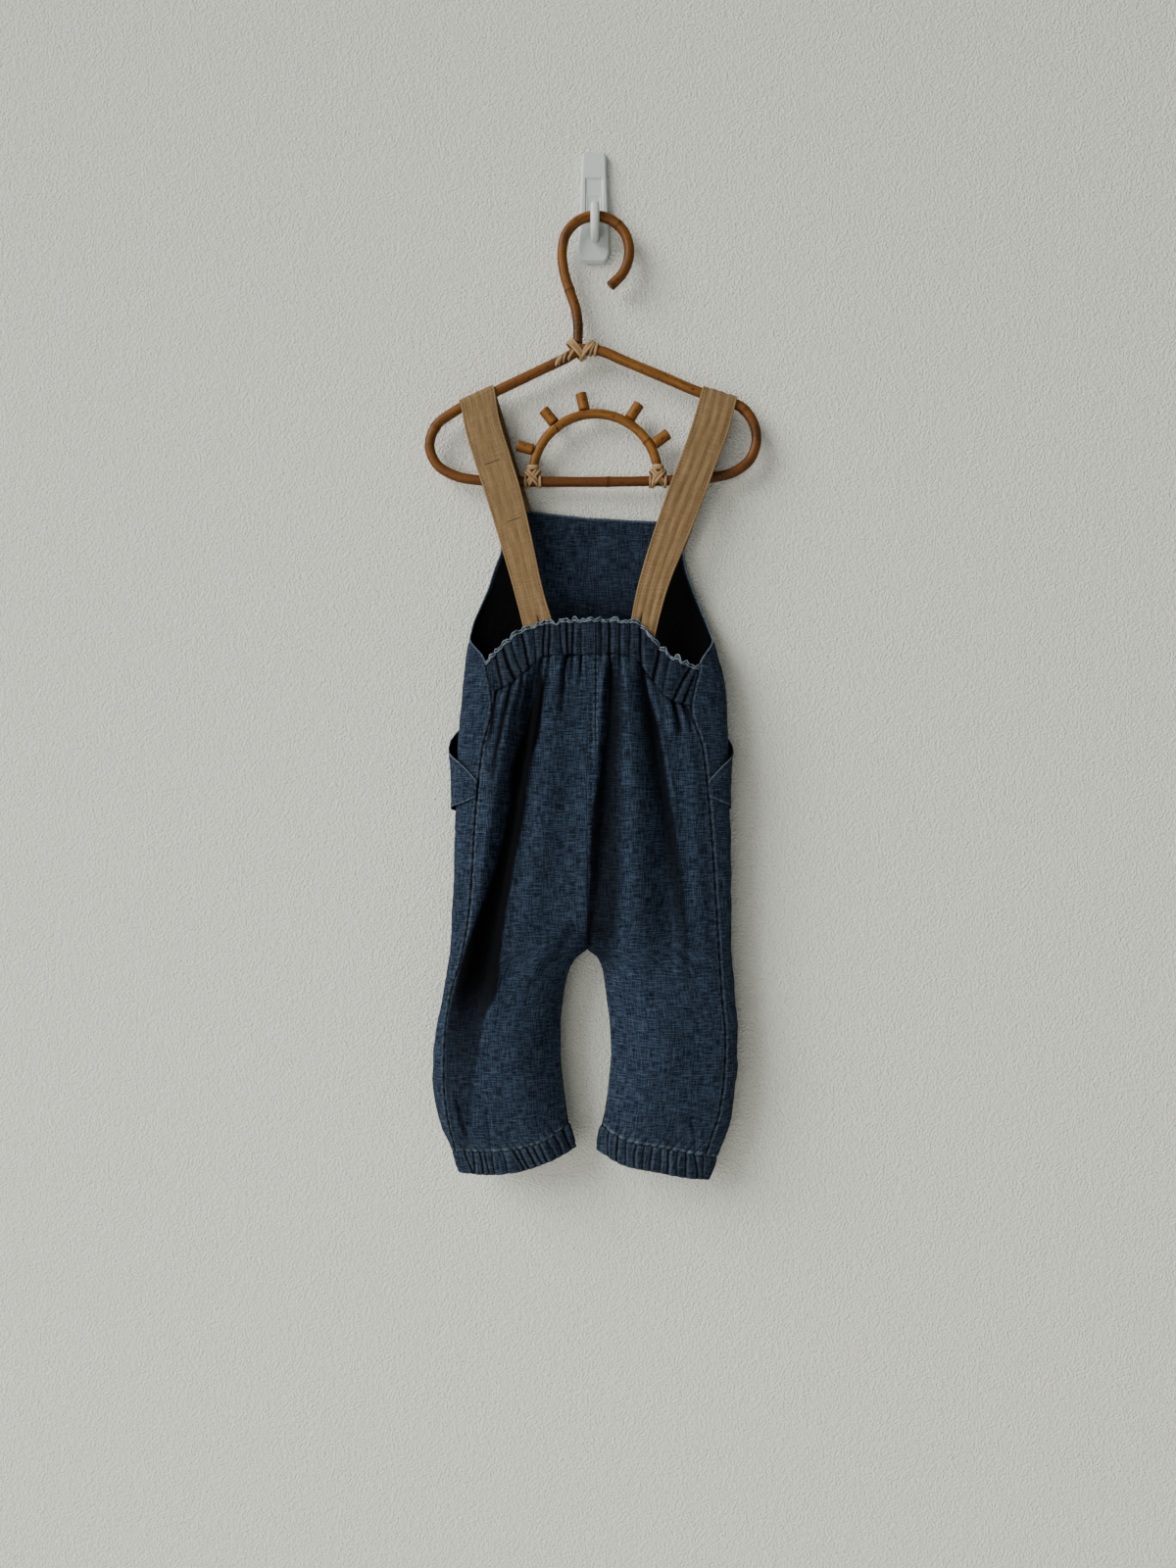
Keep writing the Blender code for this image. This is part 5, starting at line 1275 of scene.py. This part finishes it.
def build_arm(look):
    """The arm as a bent bar."""
    path = smooth_path(ARM_ROWS, ARM_STEPS)
    along = unit(np.gradient(path[:, :2], axis=0))
    wide, deep = oblong(round_turns(ARM_SIDES)[None, :], ARM_SQUARENESS)
    x = ARM_MIDDLE_X + ARM_HALF_WIDTH * path[:, 3:4] * wide
    y = path[:, :1] - path[:, 2:3] * deep * along[:, 1:]
    drop = path[:, 1:2] + path[:, 2:3] * deep * along[:, :1]
    points = np.stack([x, y, -drop], axis=-1).reshape(-1, 3)
    faces = grid_faces(len(path), ARM_SIDES, closed=True)
    thing = add_mesh("arm_bar", points, faces, look, points[:, [0, 2]], np.zeros((len(points), 3)))
    declare(thing, ["wall_hook_arm"])


class Nodes:
    """Short ways to add and join a material's nodes."""

    def __init__(self, name, roughness, specular=0.5):
        self.made = bpy.data.materials.new(name)
        self.made.use_nodes = True
        self.tree = self.made.node_tree
        self.shader = self.tree.nodes["Principled BSDF"]
        self.shader.inputs["Roughness"].default_value = roughness
        self.shader.inputs["Specular IOR Level"].default_value = specular

    def add(self, kind, **values):
        node = self.tree.nodes.new(kind)
        for key, value in values.items():
            setattr(node, key, value)
        return node

    def join(self, source, target):
        self.tree.links.new(source, target)

    def feed(self, node, values):
        """Joins or sets a node's inputs, by name or number."""
        for key, value in values.items():
            if hasattr(value, "is_output"):
                self.join(value, node.inputs[key])
            else:
                node.inputs[key].default_value = value
        return node.outputs

    def math(self, operation, first, second=0.0):
        return self.feed(self.add("ShaderNodeMath", operation=operation), {0: first, 1: second})[0]

    def noise(self, vector, detail, stretch, offset=(0, 0, 0)):
        values = {"Vector": vector, "Scale": stretch, "Location": offset}
        place = self.feed(self.add("ShaderNodeMapping"), values)[0]
        values = {"Vector": place, "Scale": 1.0, "Detail": detail, "Roughness": NOISE_ROUGHNESS}
        return self.feed(self.add("ShaderNodeTexNoise"), values)["Fac"]

    def ramp(self, factor, start, end, low=0.0, high=1.0):
        node = self.add("ShaderNodeMapRange", interpolation_type="SMOOTHSTEP")
        return self.feed(node, dict(enumerate((factor, start, end, low, high))))[0]

    def mix(self, factor, first, second):
        first, second = (part if hasattr(part, "is_output") else (*part, 1.0) for part in (first, second))
        node = self.add("ShaderNodeMix", data_type="RGBA", blend_type="MIX")
        return self.feed(node, {0: factor, 6: first, 7: second})[2]

    def bump(self, height, strength, distance):
        values = {"Strength": strength, "Distance": distance, "Height": height}
        self.join(self.feed(self.add("ShaderNodeBump"), values)[0], self.shader.inputs["Normal"])

    def tone(self):
        """The mesh's tone as separate channels: on cloth its wear with painted highlights and its painted
        shade, on cane its burns, tint and painted shade.
        """
        source = self.add("ShaderNodeAttribute", attribute_name="tone").outputs["Color"]
        return self.feed(self.add("ShaderNodeSeparateColor"), {0: source})

    def cloth_map(self):
        return self.add("ShaderNodeUVMap", uv_map="cloth").outputs[0]

    def colour(self, source):
        self.join(source, self.shader.inputs["Base Color"])


def denim_material(colours):
    """Slubby indigo cloth: pale uneven threads both ways over a dark ground."""
    n = Nodes("denim_look", 0.9, 0.08)
    uv = n.cloth_map()
    warp = n.noise(uv, 1.0, (1050, 85, 1))
    weft = n.noise(uv, 1.0, (105, 1050, 1), (3, 7, 0))
    slub = n.noise(uv, 1.0, (50, 900, 1), (9, 2, 0))
    streak = n.noise(uv, 1.0, (900, 34, 1), (5, 1, 0))
    speck = n.noise(uv, 0.0, (1250, 1250, 1), (2, 2, 0))
    cloud = n.noise(uv, 3.0, (20, 20, 1))
    hatch = n.math("ADD", n.ramp(warp, 0.42, 0.62, 0.0, 0.34), n.ramp(weft, 0.42, 0.62, 0.0, 0.42))
    extra = n.math("ADD", n.ramp(slub, 0.62, 0.68, 0.0, 0.42), n.ramp(streak, 0.62, 0.70, 0.0, 0.32))
    extra = n.math("ADD", extra, n.ramp(speck, 0.46, 0.62, -0.06, 0.20))
    threads = n.math("MULTIPLY", n.math("ADD", hatch, extra), n.ramp(cloud, 0.3, 0.7, 0.96, 1.04))
    base = n.mix(n.math("MINIMUM", threads, 1.0), colours.ground, colours.thread)
    # The wear channel carries worn edges and painted highlights beside creases; the shade channel mixes in
    # painted shade
    wear, shade, _ = n.tone()
    worn = n.math("MULTIPLY", wear, n.ramp(n.noise(uv, 2.0, (520, 520, 1)), 0.35, 0.6, 0.45, 1.0))
    base = n.mix(worn, base, colours.worn)
    base = n.mix(shade, base, colours.deep)
    n.colour(base)
    n.bump(n.math("ADD", warp, weft), 0.4, 0.0005)
    return n.made


def strap_material(colours):
    """Tan woven cloth with a fine lengthwise rib and topstitching near both edges."""
    n = Nodes("strap_cloth_look", 0.82, 0.2)
    uv = n.cloth_map()
    split = n.feed(n.add("ShaderNodeSeparateXYZ"), {0: uv})
    across, along = split[0], split[1]
    rib = n.noise(uv, 3.0, (900, 40, 1))
    weft = n.noise(uv, 2.0, (70, 900, 1), (3, 1, 0))
    cloud = n.noise(uv, 3.0, (30, 30, 1))
    base = n.mix(n.ramp(rib, 0.35, 0.65), colours.strap_dark, colours.strap)
    base = n.mix(n.ramp(weft, 0.45, 0.7, 0.0, 0.4), base, colours.strap_pale)
    base = n.mix(n.ramp(cloud, 0.35, 0.75, 0.0, 0.4), base, colours.strap_dark)
    centre = n.math("ABSOLUTE", n.math("SUBTRACT", across, STITCH_CENTRE))
    line = n.math("LESS_THAN", n.math("ABSOLUTE", n.math("SUBTRACT", centre, STITCH_OUT)), 0.0004)
    dash = n.math("LESS_THAN", n.math("FRACT", n.math("DIVIDE", along, STITCH_LENGTH)), 0.6)
    base = n.mix(n.math("MULTIPLY", n.math("MULTIPLY", line, dash), 0.65), base, colours.strap_stitch_and_shade)
    # The wear channel lightens worn edges and paints highlights beside the crease marks; the shade channel
    # mixes in painted shade in the stitch colour
    wear, shade, _ = n.tone()
    base = n.mix(n.math("MULTIPLY", wear, 0.8), base, colours.strap_pale)
    n.colour(n.mix(shade, base, colours.strap_stitch_and_shade))
    n.bump(n.math("ADD", rib, n.math("MULTIPLY", weft, 0.6)), 0.35, 0.0005)
    n.shader.inputs["Sheen Weight"].default_value = 0.05
    return n.made


def cane_material(colours):
    """Peeled cane with lengthwise grain, flecks, scorched runs and dark joints."""
    n = Nodes("cane_look", 0.5, 0.2)
    uv = n.cloth_map()
    grain = n.noise(uv, 4.0, (30, 900, 1))
    patch = n.noise(uv, 3.0, (26, 110, 1), (4, 0, 0))
    fleck = n.noise(uv, 2.0, (190, 420, 1), (1, 6, 0))
    burnt, tint, stain = n.tone()
    body = n.mix(tint, colours.cane, colours.cane_gold)
    # The tone's third channel is painted shade along the cane's sides, in the brown cane colour
    body = n.mix(n.math("MULTIPLY", stain, 0.55), body, colours.cane_brown_and_shade)
    base = n.mix(n.ramp(grain, 0.3, 0.7, 0.0, 0.55), body, colours.cane_brown_and_shade)
    base = n.mix(n.ramp(patch, 0.50, 0.74, 0.0, 0.6), base, colours.cane_brown_and_shade)
    base = n.mix(n.ramp(fleck, 0.58, 0.72, 0.0, 0.7), base, colours.cane_burnt)
    spread = n.math("MULTIPLY", burnt, n.ramp(n.noise(uv, 2.0, (300, 300, 1)), 0.3, 0.6, 0.5, 1.0))
    n.colour(n.mix(spread, base, colours.cane_burnt))
    n.bump(grain, 0.25, 0.0004)
    return n.made


def ribbon_material(colours):
    """Split cane with fine lengthwise fibres."""
    n = Nodes("split_cane_look", 0.6, 0.3)
    uv = n.cloth_map()
    fibre = n.noise(uv, 3.0, (60, 900, 1))
    stain = n.noise(uv, 2.0, (150, 150, 1), (3, 3, 0))
    base = n.mix(n.ramp(fibre, 0.3, 0.7), colours.ribbon, colours.ribbon_dark)
    n.colour(n.mix(n.ramp(stain, 0.5, 0.75, 0.0, 0.6), base, colours.cane_brown_and_shade))
    n.bump(fibre, 0.4, 0.0004)
    return n.made


def fleck_material(name, colour, roughness, scale, strength, distance=0.0004, contrast=0.12):
    """A plain colour with faint flecks and a grain to the touch."""
    n = Nodes(name, roughness)
    place = n.add("ShaderNodeTexCoord").outputs["Object"]
    fleck = n.noise(place, 3.0, (scale,) * 3)
    low, high = (tuple(channel * factor for channel in colour) for factor in (1 - contrast, 1 + contrast))
    n.colour(n.mix(n.ramp(fleck, 0.3, 0.7), low, high))
    n.bump(fleck, strength, distance)
    return n


def thread_material(colours):
    """Pale overlock thread with its twist."""
    return fleck_material("thread_look", colours.worn, 0.8, 900.0, 0.4, contrast=0.35).made


def plastic_material(colours):
    return fleck_material("plastic_look", colours.plastic, 0.38, 60.0, 0.02, contrast=0.02).made


def wall_material(colours):
    """Painted plaster for the backdrop, which the camera sees through from behind."""
    n = fleck_material("wall_look", colours.wall, 0.92, 520.0, WALL_GRAIN, 0.0032, 0.012)
    side = n.add("ShaderNodeNewGeometry").outputs["Backfacing"]
    clear = n.add("ShaderNodeBsdfTransparent").outputs[0]
    both = n.feed(n.add("ShaderNodeMixShader"), {0: side, 1: n.shader.outputs[0], 2: clear})[0]
    n.join(both, n.tree.nodes["Material Output"].inputs["Surface"])
    return n.made


def add_light(name, kind, place, aim, power, colour):
    lamp = bpy.data.lights.new(name, kind)
    lamp.energy, lamp.color = power, colour
    thing = bpy.data.objects.new(name, lamp)
    thing.location = place
    thing.rotation_euler = (Vector(aim) - Vector(place)).to_track_quat("-Z", "Y").to_euler()
    bpy.context.collection.objects.link(thing)
    return lamp


def build_stage(colours):
    reach, foot, top = STAGE_REACH, -FLOOR_DROP, STAGE_TOP
    corners = (-reach, foot), (reach, foot), (reach, top), (-reach, top)
    wall_corners = [(x, WALL_DEPTH, z) for x, z in corners]
    corners = (-reach, -reach), (reach, -reach), (reach, reach), (-reach, reach)
    floor_corners = [(x, y, foot) for x, y in corners]
    floor_look = fleck_material("floor_look", colours.floor, 0.9, 60.0, 0.05).made
    add_mesh("wall", np.array(wall_corners) / MM, [(0, 1, 2, 3)], wall_material(colours), smooth=False)
    add_mesh("floor", np.array(floor_corners) / MM, [(0, 1, 2, 3)], floor_look, smooth=False)
    world = bpy.data.worlds.new("soft room")
    world.use_nodes = True
    colour, strength = world.node_tree.nodes["Background"].inputs[:2]
    colour.default_value, strength.default_value = (*WORLD_COLOUR, 1.0), WORLD_STRENGTH
    bpy.context.scene.world = world
    sun = add_light("window", "SUN", SUN_FROM, (0.0, 0.0, 0.0), SUN_STRENGTH, SUN_COLOUR)
    sun.angle = math.radians(SUN_SPREAD)
    for name, (place, aim, size, power, colour) in (("fill", FILL), ("back fill", BACK_FILL)):
        add_light(name, "AREA", place, aim, power, colour).size = size
    eye = bpy.data.cameras.new("camera")
    eye.lens, eye.sensor_width = CAMERA_LENS, 36.0
    camera = bpy.data.objects.new("camera", eye)
    camera.location, camera.rotation_euler = CAMERA_PLACE, (math.pi / 2, 0.0, 0.0)
    bpy.context.collection.objects.link(camera)
    bpy.context.scene.camera = camera


def colour_property(name, default):
    return FloatVectorProperty(
        name=name, description=f"Colour of {name.lower()}", default=default, subtype="COLOR", min=0.0, max=1.0
    )


class RomperSizes(PropertyGroup):
    """Thicknesses of the romper's cloth."""

    cloth: FloatProperty(name="Cloth", description="Thickness of one layer", default=0.0011, unit="LENGTH")
    casing: FloatProperty(name="Casing", description="A band's thickness", default=0.0016, unit="LENGTH")
    strap: FloatProperty(name="Strap", description="Thickness of a strap", default=0.0015, unit="LENGTH")
    thread: FloatProperty(name="Thread", description="Radius of a thread", default=0.00045, unit="LENGTH")


class RomperColours(PropertyGroup):
    """Colours of the romper, its hanger, the wall hook and the room."""

    ground: colour_property("Indigo ground", (0.0008, 0.0022, 0.0068))
    thread: colour_property("Pale threads", (0.037, 0.057, 0.093))
    # Worn edges and thread, also used for painted highlights beside creases
    worn: colour_property("Worn edges", (0.130, 0.170, 0.205))
    # The painted shade's colour, mixed in by the shade channel in folds, creases, seams and insides
    deep: colour_property("Deep folds", (0.0003, 0.0005, 0.0011))
    strap: colour_property("Strap", (0.212, 0.135, 0.060))
    strap_dark: colour_property("Strap shadow", (0.130, 0.078, 0.032))
    strap_pale: colour_property("Strap highlight", (0.285, 0.198, 0.100))
    # The stitches' colour, also used for the straps' painted shade
    strap_stitch_and_shade: colour_property("Strap stitches", (0.030, 0.016, 0.008))
    cane: colour_property("Cane", (0.115, 0.036, 0.005))
    cane_gold: colour_property("Golden cane", (0.250, 0.105, 0.014))
    # Brown of the cane's grain, patches and stains, also used for the painted shade along its sides
    cane_brown_and_shade: colour_property("Brown cane", (0.060, 0.016, 0.003))
    cane_burnt: colour_property("Scorched cane", (0.010, 0.0035, 0.0015))
    ribbon: colour_property("Split cane", (0.400, 0.265, 0.125))
    ribbon_dark: colour_property("Split cane fibres", (0.200, 0.110, 0.045))
    plastic: colour_property("Hook plastic", (0.520, 0.580, 0.555))
    wall: colour_property("Wall", (0.765, 0.778, 0.704))
    floor: colour_property("Floor", (0.640, 0.635, 0.610))


def shared_look(make, name, context):
    """A look that is made once and then shared."""
    return bpy.data.materials.get(name) or make(context.scene.romper_colours)


def denim_look(context):
    return shared_look(denim_material, "denim_look", context)


class ROMPER_OT_stage(Operator):
    """Builds the wall, the floor, the lights and the camera"""

    bl_idname = "romper.stage"
    bl_label = "Build the stage"

    def execute(self, context):
        build_stage(context.scene.romper_colours)
        return {"FINISHED"}


class ROMPER_OT_front(Operator):
    """Builds the bib and the front of the trousers in one piece"""

    bl_idname = "romper.front"
    bl_label = "Build the front"

    def execute(self, context):
        build_front(context.scene.romper_sizes, denim_look(context))
        return {"FINISHED"}


class ROMPER_OT_backs(Operator):
    """Builds both back halves with their folds"""

    bl_idname = "romper.backs"
    bl_label = "Build the backs"

    def execute(self, context):
        for side in (-1, 1):
            build_back(side, context.scene.romper_sizes, denim_look(context))
        return {"FINISHED"}


class ROMPER_OT_casing(Operator):
    """Builds the gathered casing at the back waist with its overlock threads"""

    bl_idname = "romper.casing"
    bl_label = "Build the casing"

    def execute(self, context):
        thread = shared_look(thread_material, "thread_look", context)
        build_casing(context.scene.romper_sizes, denim_look(context), thread)
        return {"FINISHED"}


class ROMPER_OT_cuffs(Operator):
    """Builds both gathered cuffs"""

    bl_idname = "romper.cuffs"
    bl_label = "Build the cuffs"

    def execute(self, context):
        for side in (-1, 1):
            build_cuff(side, context.scene.romper_sizes, denim_look(context))
        return {"FINISHED"}


class ROMPER_OT_pockets(Operator):
    """Builds both side pockets"""

    bl_idname = "romper.pockets"
    bl_label = "Build the pockets"

    def execute(self, context):
        for side in (-1, 1):
            build_pocket(side, context.scene.romper_sizes, denim_look(context))
        return {"FINISHED"}


class ROMPER_OT_straps(Operator):
    """Builds both straps over the hanger's bar"""

    bl_idname = "romper.straps"
    bl_label = "Build the straps"

    def execute(self, context):
        look = shared_look(strap_material, "strap_cloth_look", context)
        for side in (-1, 1):
            build_strap(side, context.scene.romper_sizes, look)
        return {"FINISHED"}


class ROMPER_OT_hanger(Operator):
    """Builds the cane hanger, its half sun and its lashings"""

    bl_idname = "romper.hanger"
    bl_label = "Build the hanger"

    def execute(self, context):
        build_canes(shared_look(cane_material, "cane_look", context))
        build_lashings(shared_look(ribbon_material, "split_cane_look", context))
        return {"FINISHED"}


class ROMPER_OT_wall_hook(Operator):
    """Builds the plastic hook on the wall"""

    bl_idname = "romper.wall_hook"
    bl_label = "Build the wall hook"

    def execute(self, context):
        plastic = shared_look(plastic_material, "plastic_look", context)
        build_plate(plastic)
        build_arm(plastic)
        return {"FINISHED"}


class ROMPER_PT_panel(Panel):
    """Holds the romper's sizes, colours and operators"""

    bl_label = "Romper"
    bl_idname = "ROMPER_PT_panel"
    bl_space_type = "VIEW_3D"
    bl_region_type = "UI"
    bl_category = "Romper"

    def draw(self, context):
        for group in (context.scene.romper_sizes, context.scene.romper_colours):
            for name in group.__annotations__:
                self.layout.prop(group, name)
        for operator in OPERATORS:
            self.layout.operator(operator.bl_idname)


OPERATORS = (
    ROMPER_OT_stage, ROMPER_OT_front, ROMPER_OT_backs, ROMPER_OT_casing, ROMPER_OT_cuffs,
    ROMPER_OT_pockets, ROMPER_OT_straps, ROMPER_OT_hanger, ROMPER_OT_wall_hook,
)
CLASSES = (RomperSizes, RomperColours, *OPERATORS, ROMPER_PT_panel)


def register():
    for item in CLASSES:
        bpy.utils.register_class(item)
    bpy.types.Scene.romper_sizes = PointerProperty(type=RomperSizes)
    bpy.types.Scene.romper_colours = PointerProperty(type=RomperColours)


def unregister():
    del bpy.types.Scene.romper_colours
    del bpy.types.Scene.romper_sizes
    for item in reversed(CLASSES):
        bpy.utils.unregister_class(item)


def main():
    register()
    for operator in OPERATORS:
        group, name = operator.bl_idname.split(".")
        getattr(getattr(bpy.ops, group), name)()


if __name__ == "__main__":
    main()
